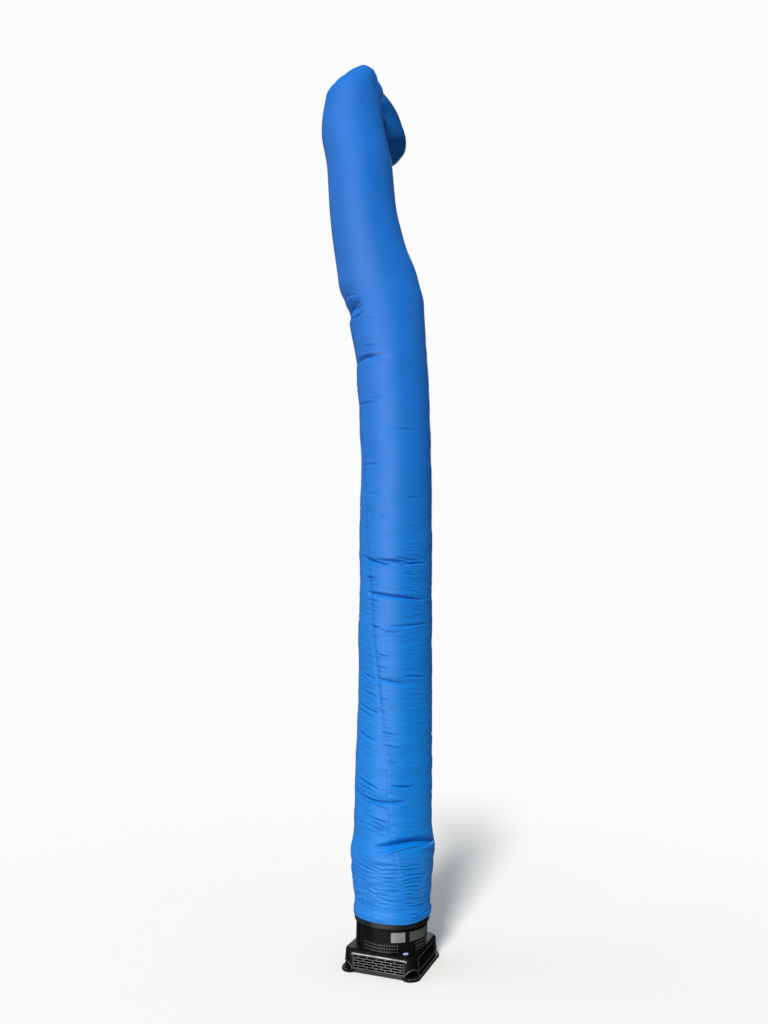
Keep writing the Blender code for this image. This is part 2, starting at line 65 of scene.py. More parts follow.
# %% Make the camera
CAMERA_PLACE = (1.744, -4.793, 1.918)
CAMERA_HEADING, CAMERA_RISE, CAMERA_ROLL = 20.86, 8.424, 0.715
CAMERA_LENS, CAMERA_SENSOR = 28.48, 36.0

camera = bpy.data.objects.new("camera", bpy.data.cameras.new("camera"))
camera.data.lens, camera.data.sensor_width = CAMERA_LENS, CAMERA_SENSOR
aim = Euler((radians(90 + CAMERA_RISE), 0, radians(CAMERA_HEADING)))
roll = Matrix.Rotation(radians(CAMERA_ROLL), 3, "Z")
camera.matrix_world = Matrix.LocRotScale(
    Vector(CAMERA_PLACE), (aim.to_matrix() @ roll).to_euler(), None
)
bpy.context.scene.collection.objects.link(camera)
bpy.context.scene.camera = camera
print("camera at", CAMERA_PLACE)

# %% [markdown]
# ## The studio
#
# Thin cloth shows its creases only where light rakes across them. Most of
# these run round the tube, so the key light comes from high up, warm as
# daylight is. Two weaker and much softer lights fill from the left and from
# the front. All three are suns, because a sun reaches the whole six metres
# evenly, which a softbox of any normal size can't. Five more suns only shine
# in the part and don't light it, as tall strip lights would: they draw the
# soft pale stripe down the tube.


# %% Make the lights
def rows_of(kind, *rows):
    """A table: rows of numbers, each with the names of that kind."""
    return [kind(*row) for row in rows]


Sun = namedtuple("Sun", "name heading height strength softness colour")
SUNS = rows_of(
    Sun,
    ("key_sun", 6, 50, 3.15, 9, (1.0, 0.97, 0.92)),
    ("side_softbox", -72, 14, 0.76, 60, (0.95, 0.98, 1.0)),
    ("front_softbox", 0, 8, 0.34, 50, (1.0, 0.99, 0.97)),
)
SKY_COLOUR, SKY_HIGH, SKY_LOW = (0.86, 0.94, 1.0), 0.40, 0.20
SKY_LEFT, SKY_RIGHT = 0.95, 1.00
SHINES = rows_of(
    Sun,
    ("low_strip", -9, -16, 3.7, 68, (1.0, 0.98, 1.0)),
    ("middle_strip", -10, 12, 1.35, 68, (1.0, 0.98, 1.0)),
    ("high_strip", -11, 38, 1.25, 68, (1.0, 0.98, 1.0)),
    ("left_strip", -92, 4, 0.36, 70, (1.0, 0.98, 1.0)),
    ("back_strip", 196, 20, 0.8, 34, (0.80, 0.90, 1.0)),
)
DARK_SKY = 0.02  # all that shines in the part, besides the strips
BACKDROP_COLOUR, BACKDROP_STRENGTH = (0.99, 0.995, 1.0), 0.97


def on_circle(radius, heading, height=0.0):
    """A place on a circle round Z; heading 0 is the front, 90 the right."""
    turn = radians(heading)
    return Vector((radius * sin(turn), -radius * cos(turn), height))


def add_object(name, data):
    """An object in the scene, with its data under the same name."""
    data.name = name
    item = bpy.data.objects.new(name, data)
    bpy.context.scene.collection.objects.link(item)
    return item


for sun in SUNS + SHINES:
    lamp = bpy.data.lights.new(sun.name, "SUN")
    lamp.energy, lamp.angle, lamp.color = sun.strength, radians(sun.softness), sun.colour
    level = radians(sun.height)
    towards = on_circle(cos(level), sun.heading, sin(level))
    lamp = add_object(sun.name, lamp)
    lamp.rotation_euler = towards.to_track_quat("Z", "Y").to_euler()
    lamp.visible_glossy, lamp.visible_diffuse = sun in SHINES, sun in SUNS
bpy.context.scene.view_settings.view_transform = "Standard"
print(len(SUNS), "suns that light, and", len(SHINES), "that only shine")

# %% [markdown]
# ## Nodes
#
# The sky and every finish are small trees of nodes. A picture could be used
# instead, but nodes stay sharp at any distance, and they go with the part.


# %% Helpers for node trees
class Nodes:
    """A node tree, with short ways to add nodes to it."""

    def __init__(self, tree):
        self.tree = tree

    def node(self, kind, links=(), numbers=(), **values):
        """A node of that kind, with its inputs joined to outputs or set."""
        made = self.tree.nodes.new("ShaderNode" + kind)
        for key, value in values.items():
            setattr(made, key, value)
        for socket, source in dict(links).items():
            self.tree.links.new(source, made.inputs[socket])
        for socket, number in dict(numbers).items():
            made.inputs[socket].default_value = number
        return made

    def spread(self, value, from_low, from_high, low=0.0, high=1.0):
        """A value moved from one range to another, and held inside it."""
        ends = {"From Min": from_low, "From Max": from_high, "To Min": low, "To Max": high}
        return self.node("MapRange", {"Value": value}, ends).outputs["Result"]

    def product(self, one, other):
        return self.node("Math", {0: one, 1: other}, operation="MULTIPLY").outputs["Value"]

    def show(self, shader, output):
        """Makes a shader the one that the tree puts out."""
        self.tree.links.new(shader.outputs[0], self.tree.nodes[output].inputs["Surface"])


print("node helpers ready")

# %% [markdown]
# ## The sky
#
# The world has three parts. What the eye sees behind the part is bright white
# paper. What lights the part is a weaker sky, stronger from above than from
# below. What shines in the part is a nearly dark sky, because the strips do
# the shining: a bright one would turn black plastic grey and blue nylon pale.

# %% Make the sky
SKY_TURNS_AT, SKY_SIDES_AT = 0.5, 0.6  # how far round the sky still changes

world = bpy.data.worlds.new("studio_sky")
bpy.context.scene.world = world
world.use_nodes = True
sky = Nodes(world.node_tree)
looking = sky.node("TexCoord").outputs["Generated"]
direction = sky.node("SeparateXYZ", {0: looking}).outputs
strength = sky.product(
    sky.spread(direction["Z"], -SKY_TURNS_AT, SKY_TURNS_AT, SKY_LOW, SKY_HIGH),
    sky.spread(direction["X"], -SKY_SIDES_AT, SKY_SIDES_AT, SKY_LEFT, SKY_RIGHT),
)
blue, white = (*SKY_COLOUR, 1), (*BACKDROP_COLOUR, 1)
soft = sky.node("Background", {"Strength": strength}, {"Color": blue})
dark = sky.node("Background", (), {"Color": blue, "Strength": DARK_SKY})
paper = sky.node("Background", (), {"Color": white, "Strength": BACKDROP_STRENGTH})
ray = sky.node("LightPath").outputs
light = sky.node(
    "MixShader", {"Fac": ray["Is Glossy Ray"], 1: soft.outputs[0], 2: dark.outputs[0]}
)
seen = sky.node(
    "MixShader", {"Fac": ray["Is Camera Ray"], 1: light.outputs[0], 2: paper.outputs[0]}
)
sky.show(seen, "World Output")
print("white paper, a soft sky, and a dark one that shines")

# %% [markdown]
# ## Materials
#
# Each finish is a Principled shader with a few nodes round it. A number that
# is the same all over goes straight into the shader's socket. Only what
# varies, such as grain or grime, comes from noise.


# %% Helpers for finishes
class Finish(Nodes):
    """A material, with short ways to vary its tone, gloss and relief."""

    def __init__(self, name, colour, roughness, **sockets):
        self.name = name
        self.material = bpy.data.materials.new(name)
        self.material.use_nodes = True
        super().__init__(self.material.node_tree)
        self.shader = self.tree.nodes["Principled BSDF"]
        self.shader.inputs["Base Color"].default_value = (*colour, 1)
        self.shader.inputs["Roughness"].default_value = roughness
        self.material.diffuse_color = (*colour, 1)
        for socket, value in sockets.items():
            self.shader.inputs[socket.replace("_", " ")].default_value = value

    def join(self, source, socket):
        self.tree.links.new(source, self.shader.inputs[socket])

    def where(self):
        return self.node("TexCoord").outputs["Object"]

    def noise(self, where, scale, detail=3.0, roughness=0.5):
        numbers = {"Scale": scale, "Detail": detail, "Roughness": roughness}
        return self.node("TexNoise", {"Vector": where}, numbers).outputs["Fac"]

    def mix_colours(self, mask, low, high):
        """A colour that runs from one colour or socket to another."""
        made = self.node("Mix", {"Factor": mask}, data_type="RGBA")
        for socket, colour in zip((made.inputs[6], made.inputs[7]), (low, high)):
            if isinstance(colour, tuple):
                socket.default_value = (*colour, 1)
            else:
                self.tree.links.new(colour, socket)
        return made.outputs[2]

    def blend_colours(self, mask, low, high, low_at=0.3, high_at=0.7):
        """The base colour runs from one to the other as the mask rises."""
        ramp = self.node("ValToRGB", {"Fac": mask})
        ends = ramp.color_ramp.elements
        ends[0].position, ends[1].position = low_at, high_at
        ends[0].color, ends[1].color = (*low, 1), (*high, 1)
        self.join(ramp.outputs["Color"], "Base Color")

    def vary_roughness(self, mask, low, high):
        self.join(self.spread(mask, 0.0, 1.0, low, high), "Roughness")

    def bump(self, height, depth, below=None):
        """Relief of that depth in metres, on top of another bump."""
        made = self.node("Bump", {"Height": height}, {"Distance": depth})
        if below:
            self.tree.links.new(below, made.inputs["Normal"])
        self.join(made.outputs["Normal"], "Normal")
        return made.outputs["Normal"]


print("helpers for finishes ready")

# %% [markdown]
# The floor is pale paper. It fades out a few metres away, into the backdrop,
# as a paper sweep does, so there is no horizon to compete with the blue tube.
# It is stage, not product.

# %% Lay the floor
FLOOR_SIZE = 24.0
FLOOR_COLOUR = (0.80, 0.797, 0.79)
FLOOR_SOLID, FLOOR_GONE = 1.2, 6.0

paint = Finish("studio_floor", FLOOR_COLOUR, 0.9, Specular_IOR_Level=0.0)
distance = paint.node("VectorMath", {0: paint.where()}, operation="LENGTH").outputs["Value"]
fade = paint.node(
    "MapRange", {"Value": distance}, {"From Min": FLOOR_SOLID, "From Max": FLOOR_GONE},
    interpolation_type="SMOOTHSTEP",
)
clear = paint.node("BsdfTransparent")
sweep = paint.node(
    "MixShader", {0: fade.outputs["Result"], 1: paint.shader.outputs[0], 2: clear.outputs[0]}
)
paint.show(sweep, "Material Output")


def grid_mesh(points, uvs=None):
    """Quads over rows of points, each row running anticlockwise."""
    rows, columns = points.shape[:2]
    index = np.arange(rows * columns).reshape(rows, columns)
    quads = np.stack(
        [index[:-1, :-1], index[:-1, 1:], index[1:, 1:], index[1:, :-1]], axis=-1
    ).reshape(-1, 4)
    mesh = bpy.data.meshes.new("grid")
    mesh.from_pydata(points.reshape(-1, 3).tolist(), [], quads.tolist())
    if uvs is not None:
        layer = mesh.uv_layers.new(name="cloth")
        layer.data.foreach_set("uv", uvs.reshape(-1, 2)[quads.ravel()].ravel())
    mesh.shade_smooth()
    return mesh


half = FLOOR_SIZE / 2
corners = [[(-half, -half, 0), (half, -half, 0)], [(-half, half, 0), (half, half, 0)]]
floor = add_object("studio_floor", grid_mesh(np.array(corners)))
floor.data.materials.append(paint.material)
floor.visible_glossy = False  # it lights the part, but doesn't shine in it
print("floor", FLOOR_SIZE, "m across")

# %% [markdown]
# ## The cloth's own shape
#
# The tube is a stack of slices. Each slice is an ellipse with a middle, a
# width and a depth, and smooth curves run from one to the next. The same
# short tables shape the CAD solids, so the thin sheet lies right on them.
# A cloth simulation could inflate a plain tube, but it wouldn't kink and flop
# in just this way, so the shape is given here.

# %% Tables of the shape
TUBE_TURN = radians(20.9)
CLOTH_GAP = 0.0003
SEAM_HEIGHT, SEAM_HOLD, SEAM_EASE = 0.662, 0.012, 0.025
RING_DIP, RING_DIP_AT, RING_MEAN, RING_REACH = 0.020, -88, -0.010, 0.150
HINGE_ACROSS, HINGE_BEHIND, HINGE_HEIGHT = -0.246, 0.254, 5.580
HINGE_RADIUS = 0.027
FLOP_TURN = radians(20)

Ring = namedtuple("Ring", "height radius")
SLEEVE = rows_of(
    Ring,
    (0.279, 0.2275),
    (0.312, 0.2278),
    (0.343, 0.2232),
    (0.380, 0.2262),
    (0.445, 0.2335),
    (0.520, 0.2410),
    (0.590, 0.2460),
    (0.635, 0.2515),
    (SEAM_HEIGHT, 0.2520),
)
Slice = namedtuple("Slice", "height across behind half_width half_depth turn")
TUBE = rows_of(
    Slice,
    (0.662, 0.000, 0.000, 0.2515, 0.2515, 0),
    (0.674, 0.000, 0.000, 0.2515, 0.2515, 0),
    (0.690, 0.000, 0.000, 0.2480, 0.2480, 0),
    (0.735, 0.000, 0.000, 0.2395, 0.2400, 0),
    (0.787, -0.001, 0.000, 0.2335, 0.2350, 0),
    (1.100, 0.001, 0.000, 0.2335, 0.2280, 0),
    (1.420, 0.005, 0.000, 0.2285, 0.2290, 0),
    (1.710, 0.006, 0.000, 0.2265, 0.2310, 0),
    (1.900, 0.001, 0.000, 0.2295, 0.2280, 0),
    (2.155, 0.003, 0.000, 0.2260, 0.2310, 0),
    (2.450, 0.000, 0.000, 0.2295, 0.2280, 0),
    (2.720, -0.001, 0.000, 0.2290, 0.2290, 0),
    (2.980, -0.001, 0.001, 0.2250, 0.2320, 0),
    (3.160, -0.010, 0.002, 0.2285, 0.2290, 0),
    (3.360, -0.018, 0.003, 0.2300, 0.2275, 0),
    (3.520, -0.029, 0.004, 0.2340, 0.2240, 0),
    (3.640, -0.035, 0.005, 0.2320, 0.2250, 0),
    (3.800, -0.054, 0.006, 0.2400, 0.2180, 0),
    (3.900, -0.067, 0.007, 0.2470, 0.2120, 0),
    (4.010, -0.079, 0.008, 0.2520, 0.2080, 0),
    (4.090, -0.093, 0.009, 0.2615, 0.2040, 0),
    (4.170, -0.121, 0.010, 0.2690, 0.2040, 0),
    (4.300, -0.149, 0.012, 0.2620, 0.2120, 0),
    (4.430, -0.186, 0.014, 0.2460, 0.2220, 0),
    (4.560, -0.214, 0.017, 0.2370, 0.2260, 0),
    (4.730, -0.243, 0.022, 0.2270, 0.2310, 0),
    (4.900, -0.259, 0.028, 0.2240, 0.2310, 0),
    (5.060, -0.273, 0.035, 0.2230, 0.2280, 4),
    (5.180, -0.295, 0.040, 0.2225, 0.2140, 9),
    (5.290, -0.318, 0.044, 0.2215, 0.2000, 14),
    (5.420, -0.328, 0.047, 0.2120, 0.1910, 18),
    (5.580, -0.3202, 0.0497, 0.1960, 0.1900, 20),
)
Tipped = namedtuple("Tipped", "tip half_width half_depth slant shift")
FOLD_OVER = rows_of(
    Tipped,
    (0, 0.196, 0.190, 0, 0.000),
    (45, 0.155, 0.148, 13, 0.053),
    (90, 0.187, 0.164, 24, 0.001),
    (135, 0.197, 0.167, 19, 0.004),
    (180, 0.206, 0.189, 12, -0.002),
)
Hanging = namedtuple("Hanging", "drop half_width half_depth")
FLOP = rows_of(
    Hanging,
    (0.000, 0.2060, 0.1890),
    (0.055, 0.2130, 0.1960),
    (0.120, 0.2100, 0.1930),
    (0.168, 0.1920, 0.1770),
    (0.205, 0.1560, 0.1440),
    (0.228, 0.0950, 0.0880),
    (0.238, 0.0000, 0.0000),
)
print(len(TUBE), "slices up the tube,", len(FOLD_OVER), "over the fold")

# %% [markdown]
# A row between two table rows is read from a smooth curve through them. Each
# row then becomes a section, which is an ellipse in place, and a section
# gives the points of one ring and the way outwards at each.


# %% Read the tables and make rings
def smooth_rows(rows, at):
    """A row read at any place in a table, on a smooth curve."""
    if at <= rows[0][0]:
        return rows[0]
    if at >= rows[-1][0]:
        return rows[-1]
    k = max(i for i, row in enumerate(rows) if row[0] <= at)
    before, low = rows[max(k - 1, 0)], rows[k]
    high, after = rows[k + 1], rows[min(k + 2, len(rows) - 1)]
    span = high[0] - low[0]
    t = (at - low[0]) / span
    values = [at]
    for i in range(1, len(low)):
        slope_low = (high[i] - before[i]) / (high[0] - before[0]) * span
        slope_high = (after[i] - low[i]) / (after[0] - low[0]) * span
        values.append(
            (2 * t**3 - 3 * t**2 + 1) * low[i]
            + (t**3 - 2 * t**2 + t) * slope_low
            + (3 * t**2 - 2 * t**3) * high[i]
            + (t**3 - t**2) * slope_high
        )
    return type(low)(*values)


def own_frame(across, behind, height):
    """A place in the tube's own frame, as a place in the part."""
    return Vector(
        (
            across * cos(TUBE_TURN) - behind * sin(TUBE_TURN),
            across * sin(TUBE_TURN) + behind * cos(TUBE_TURN),
            height,
        )
    )


Section = namedtuple("Section", "middle width_axis depth_axis half_width half_depth")


def ring_points(section, angles):
    """The points of one ring, and the way outwards at each."""
    middle, width_axis, depth_axis = (np.array(v) for v in section[:3])
    half_width, half_depth = max(section.half_width, 1e-5), max(section.half_depth, 1e-5)
    right, front = np.sin(np.radians(angles)), np.cos(np.radians(angles))
    right, front = right[:, None], front[:, None]
    outward = width_axis * right / half_width - depth_axis * front / half_depth
    outward /= np.linalg.norm(outward, axis=1, keepdims=True)
    place = middle + width_axis * half_width * right - depth_axis * half_depth * front
    return place, outward


def shaft_section(height):
    here = smooth_rows(TUBE, height)
    turn = radians(here.turn)
    return Section(
        own_frame(here.across, here.behind, height),
        own_frame(cos(turn), -sin(turn), 0),
        own_frame(sin(turn), cos(turn), 0),
        here.half_width,
        here.half_depth,
    )


def hinge_axes(slant):
    """The hinge line, the level way the flop heads, and up between them."""
    level = own_frame(cos(FLOP_TURN), -sin(FLOP_TURN), 0)
    heading = own_frame(sin(FLOP_TURN), cos(FLOP_TURN), 0)
    rise = Vector((0, 0, 1))
    along = level * cos(radians(slant)) + rise * sin(radians(slant))
    up = rise * cos(radians(slant)) - level * sin(radians(slant))
    return along, heading, up


def tipped_section(tip):
    """The slice that has been tipped that many degrees over the hinge."""
    here = smooth_rows(FOLD_OVER, tip)
    along, heading, up = hinge_axes(here.slant)
    inwards = heading * cos(radians(tip)) - up * sin(radians(tip))
    hinge = own_frame(HINGE_ACROSS, HINGE_BEHIND, HINGE_HEIGHT)
    middle = hinge - inwards * (HINGE_RADIUS + here.half_depth) + along * here.shift
    return Section(middle, along, inwards, here.half_width, here.half_depth)


def hanging_section(drop):
    """A slice of the flop, upside down below the fold."""
    here = smooth_rows(FLOP, drop)
    last = tipped_section(FOLD_OVER[-1].tip)
    up = hinge_axes(FOLD_OVER[-1].slant)[2]
    return last._replace(
        middle=last.middle - up * drop,
        half_width=here.half_width,
        half_depth=here.half_depth,
    )


crest = tipped_section(90)
print(f"the fold's middle is {crest.middle.z:.2f} m up")

# %% [markdown]
# ## Folds and creases
#
# The air pushes the cloth out, and where the tube bends the cloth is too long
# on the inner side, so it buckles into troughs. The big ones are in the CAD
# too. Sculpting the small ones by hand would take a day, and noise alone
# never looks like cloth. A short table of real creases, each with its two
# ends, its middle and a depth, puts every one where it belongs.

# %% Tables of folds and creases
Fold = namedtuple("Fold", "height at half_angle depth half_height climb arch")
LEVEL_OUT = 60
FOLDS = rows_of(
    Fold,
    (0.7270, 29, 61, 0.026, 0.019, 0.006, 0.060),
    (0.945, -25, 50, 0.006, 0.016, -0.012, -0.016),
    (1.630, -5, 48, 0.006, 0.016, -0.018, 0.000),
    (2.130, -3, 52, 0.007, 0.016, -0.020, 0.000),
    (2.335, -3, 60, 0.007, 0.016, 0.000, -0.034),
    (3.642, -46, 44, 0.009, 0.018, -0.010, 0.000),
    (3.995, -74, 34, 0.022, 0.034, 0.008, 0.000),
)
# A crease runs from a left angle to a right one, through three heights.
Crease = namedtuple("Crease", "left right start middle end depth width")
DEEPER, NARROWER = 1.9, 0.78
KINK_CREASES = rows_of(
    Crease,
    (-78, -44, 4.090, 4.082, 4.062, 0.004, 0.010),
    (-64, -42, 4.028, 4.020, 4.014, 0.005, 0.008),
    (-92, -52, 3.975, 4.000, 4.002, 0.012, 0.012),
    (-60, -39, 3.974, 3.984, 3.992, 0.006, 0.008),
    (-74, -34, 3.930, 3.930, 3.948, 0.007, 0.009),
    (-42, -20, 3.896, 3.893, 3.888, 0.004, 0.008),
    (-52, -18, 3.714, 3.713, 3.709, 0.006, 0.008),
    (-84, -24, 3.630, 3.648, 3.636, 0.008, 0.009),
    (-34, 8, 3.616, 3.613, 3.609, 0.003, 0.007),
    (-44, -12, 3.367, 3.364, 3.358, 0.005, 0.008),
    (-76, -28, 3.354, 3.348, 3.337, 0.006, 0.009),
)
UPPER_CREASES = rows_of(
    Crease,
    (-6, 31, 3.161, 3.159, 3.155, 0.004, 0.008),
    (-70, -26, 2.953, 2.949, 2.936, 0.005, 0.008),
    (-52, -28, 2.764, 2.760, 2.754, 0.004, 0.008),
    (15, 48, 2.720, 2.738, 2.732, 0.004, 0.008),
    (-35, -8, 2.620, 2.613, 2.606, 0.004, 0.008),
    (-65, -46, 2.550, 2.547, 2.543, 0.004, 0.008),
    (-20, -2, 2.498, 2.497, 2.495, 0.003, 0.007),
    (-62, -4, 2.380, 2.338, 2.310, 0.008, 0.010),
    (-34, 20, 2.350, 2.343, 2.334, 0.006, 0.009),
    (2, 55, 2.312, 2.332, 2.336, 0.006, 0.009),
    (0, 33, 2.367, 2.354, 2.345, 0.004, 0.008),
    (-55, -32, 2.247, 2.242, 2.237, 0.004, 0.008),
    (-53, 48, 2.160, 2.129, 2.115, 0.007, 0.010),
    (-50, -26, 2.110, 2.102, 2.095, 0.004, 0.008),
    (-10, 56, 1.950, 1.958, 1.976, 0.005, 0.009),
    (-43, -23, 1.954, 1.947, 1.940, 0.004, 0.008),
    (-24, 6, 1.926, 1.917, 1.909, 0.004, 0.008),
)
LOWER_CREASES = rows_of(
    Crease,
    (-38, -9, 1.789, 1.779, 1.767, 0.004, 0.008),
    (-35, -9, 1.713, 1.707, 1.701, 0.004, 0.008),
    (-64, -33, 1.673, 1.656, 1.638, 0.005, 0.009),
    (-74, -47, 1.665, 1.650, 1.632, 0.004, 0.008),
    (-32, 25, 1.647, 1.626, 1.606, 0.005, 0.009),
    (6, 48, 1.649, 1.659, 1.651, 0.005, 0.009),
    (-66, -28, 1.578, 1.556, 1.534, 0.005, 0.009),
    (-25, -8, 1.528, 1.522, 1.516, 0.003, 0.007),
    (-72, -27, 1.493, 1.468, 1.442, 0.005, 0.009),
    (-74, -36, 1.463, 1.440, 1.416, 0.005, 0.009),
    (-76, -29, 1.337, 1.308, 1.280, 0.006, 0.010),
    (-22, 5, 1.334, 1.326, 1.317, 0.003, 0.008),
    (-17, 13, 1.262, 1.251, 1.240, 0.003, 0.008),
    (-12, 10, 1.172, 1.163, 1.154, 0.003, 0.008),
    (-66, -22, 1.066, 1.042, 1.010, 0.007, 0.009),
    (-62, -34, 1.028, 1.016, 1.003, 0.005, 0.008),
    (-7, 33, 1.039, 1.029, 1.035, 0.006, 0.010),
    (-72, 22, 0.978, 0.944, 0.948, 0.007, 0.009),
    (-65, -24, 0.952, 0.935, 0.918, 0.006, 0.008),
    (-29, -5, 0.922, 0.912, 0.902, 0.004, 0.008),
    (-46, -3, 0.864, 0.844, 0.825, 0.005, 0.008),
    (-35, -4, 0.837, 0.813, 0.777, 0.006, 0.008),
    (-70, -44, 0.835, 0.816, 0.796, 0.005, 0.008),
    (-36, -10, 0.808, 0.794, 0.781, 0.005, 0.008),
    (-28, 12, 0.664, 0.682, 0.714, 0.006, 0.010),
    (-14, 60, 0.688, 0.726, 0.702, 0.008, 0.013),
    (46, 92, 0.724, 0.706, 0.690, 0.005, 0.009),
    (-8, 44, 0.674, 0.703, 0.700, -0.009, 0.010),
    (40, 86, 0.684, 0.682, 0.676, -0.009, 0.008),
    (34, 78, 0.700, 0.664, 0.660, 0.004, 0.006),
)
SLEEVE_CREASES = rows_of(
    Crease,
    (-62, 8, 0.650, 0.660, 0.652, 0.004, 0.007),
    (-64, -28, 0.650, 0.641, 0.628, 0.005, 0.007),
    (-55, -32, 0.590, 0.578, 0.564, 0.003, 0.007),
    (-38, -16, 0.596, 0.586, 0.574, 0.003, 0.006),
    (-13, 6, 0.576, 0.575, 0.574, 0.003, 0.006),
    (-14, 8, 0.531, 0.529, 0.528, 0.003, 0.006),
    (-42, -30, 0.522, 0.514, 0.505, 0.002, 0.006),
    (-30, -12, 0.526, 0.520, 0.514, 0.002, 0.006),
    (-12, 9, 0.484, 0.482, 0.481, 0.003, 0.006),
    (-12, 10, 0.461, 0.459, 0.458, 0.003, 0.006),
    (-44, -22, 0.457, 0.444, 0.429, 0.003, 0.006),
    (-74, -38, 0.398, 0.366, 0.346, 0.005, 0.009),
    (-52, -34, 0.424, 0.414, 0.402, 0.003, 0.007),
    (-40, -8, 0.346, 0.338, 0.334, 0.003, 0.007),
    (8, 24, 0.629, 0.633, 0.630, 0.003, 0.005),
    (9, 44, 0.592, 0.598, 0.594, 0.004, 0.006),
    (9, 36, 0.572, 0.579, 0.572, 0.004, 0.005),
    (9, 24, 0.560, 0.565, 0.561, 0.003, 0.005),
    (10, 50, 0.535, 0.546, 0.538, 0.005, 0.006),
    (10, 50, 0.513, 0.524, 0.517, 0.004, 0.006),
    (12, 50, 0.492, 0.504, 0.492, 0.004, 0.006),
    (12, 44, 0.472, 0.482, 0.469, 0.004, 0.006),
    (13, 42, 0.455, 0.462, 0.446, 0.004, 0.005),
    (14, 34, 0.436, 0.441, 0.428, 0.004, 0.005),
    (15, 52, 0.414, 0.411, 0.402, 0.004, 0.006),
    (16, 36, 0.392, 0.388, 0.376, 0.003, 0.005),
    (26, 62, 0.372, 0.366, 0.370, 0.005, 0.006),
    (24, 60, 0.350, 0.348, 0.356, 0.005, 0.006),
    (40, 74, 0.392, 0.398, 0.414, 0.003, 0.007),
    (28, 70, 0.320, 0.330, 0.342, 0.004, 0.0045),
    (32, 66, 0.312, 0.322, 0.333, -0.0036, 0.0045),
    (24, 60, 0.304, 0.313, 0.324, 0.004, 0.0045),
    (26, 56, 0.298, 0.305, 0.314, -0.0034, 0.0042),
    (18, 48, 0.294, 0.297, 0.304, 0.0035, 0.0042),
    (48, 78, 0.700, 0.712, 0.740, 0.004, 0.007),
)


def sharper(creases):
    return [
        crease._replace(depth=crease.depth * DEEPER, width=crease.width * NARROWER)
        for crease in creases
    ]


tube_creases = sharper(KINK_CREASES + UPPER_CREASES + LOWER_CREASES)
sleeve_creases = sharper(SLEEVE_CREASES)
print(len(tube_creases), "creases on the tube")
print(len(SLEEVE_CREASES), "creases on the sleeve")

# %% [markdown]
# The far side isn't in view from the front, but it is just as creased. Its
# creases are drawn by chance from a fixed seed, with the lengths, slopes and
# depths of the front's, so each run of the lesson gives the same cloth.

# %% Add the far side's creases
BACK_COUNT, BACK_SEED = 70, 11
BACK_LOW, BACK_RISE, BACK_CROWDING = 0.80, 2.95, 1.25  # more of them low down
BACK_MIDDLE, BACK_HALF = (100, 260), (9, 34)  # in degrees
BACK_CLIMB, BACK_ARCH = 0.012, 0.008
BACK_DEPTH, BACK_WIDTH = (0.003, 0.007), (0.008, 0.011)

chance = np.random.RandomState(BACK_SEED)
back_creases = []
for i in range(BACK_COUNT):
    height = BACK_LOW + BACK_RISE * chance.rand() ** BACK_CROWDING
    middle, half = chance.uniform(*BACK_MIDDLE), chance.uniform(*BACK_HALF)
    climb, arch = chance.normal(0.0, BACK_CLIMB), chance.normal(0.0, BACK_ARCH)
    depth, width = chance.uniform(*BACK_DEPTH), chance.uniform(*BACK_WIDTH)
    start, end = height - climb - arch, height + climb - arch
    back_creases.append(Crease(middle - half, middle + half, start, height, end, depth, width))
print(len(back_creases), "more on the far side")

# %% [markdown]
# Between the main creases run many small ones, in ladders where the cloth is
# drawn together. A ladder is a height range, an angle range, and a count, and
# chance only shifts its rungs a little.

# %% Add the ladders of small creases
Ladder = namedtuple("Ladder", "low high left right count half climb depth width")
LADDERS = rows_of(
    Ladder,
    (3.755, 3.890, -60, -14, 9, 13, 0.003, 0.0030, 0.0060),
    (3.360, 3.490, -24, 4, 6, 10, -0.002, 0.0024, 0.0060),
    (2.920, 3.200, -30, 2, 16, 12, -0.001, 0.0026, 0.0060),
    (2.720, 2.910, -32, -2, 9, 10, -0.001, 0.0018, 0.0065),
    (2.560, 2.990, 14, 48, 5, 8, 0.000, 0.0026, 0.0060),
    (2.370, 2.560, 12, 48, 12, 9, -0.003, 0.0042, 0.0055),
    (2.400, 2.620, -64, -22, 9, 8, -0.004, 0.0026, 0.0060),
    (1.990, 2.330, 6, 46, 26, 9, -0.004, 0.0044, 0.0055),
    (2.000, 2.310, -60, -26, 9, 7, -0.004, 0.0034, 0.0060),
    (1.660, 1.970, 4, 36, 16, 8, -0.001, 0.0034, 0.0060),
    (1.660, 1.930, -56, -34, 6, 6, -0.004, 0.0024, 0.0060),
    (1.300, 1.610, 4, 60, 13, 12, -0.005, 0.0024, 0.0065),
    (1.090, 1.600, -66, -26, 12, 12, -0.016, 0.0026, 0.0065),
    (1.000, 1.290, 2, 50, 12, 10, -0.006, 0.0026, 0.0065),
    (0.770, 0.990, 0, 44, 11, 10, -0.004, 0.0026, 0.0060),
    (0.760, 0.990, -60, -10, 10, 12, -0.016, 0.0034, 0.0060),
)

RUNG_SHIFT, RUNG_BOW = 0.35, 0.002  # in rungs, and in metres
RUNG_HALF, RUNG_CLIMB, RUNG_DEPTH = (0.5, 1.5), (0.3, 1.6), (0.6, 1.35)


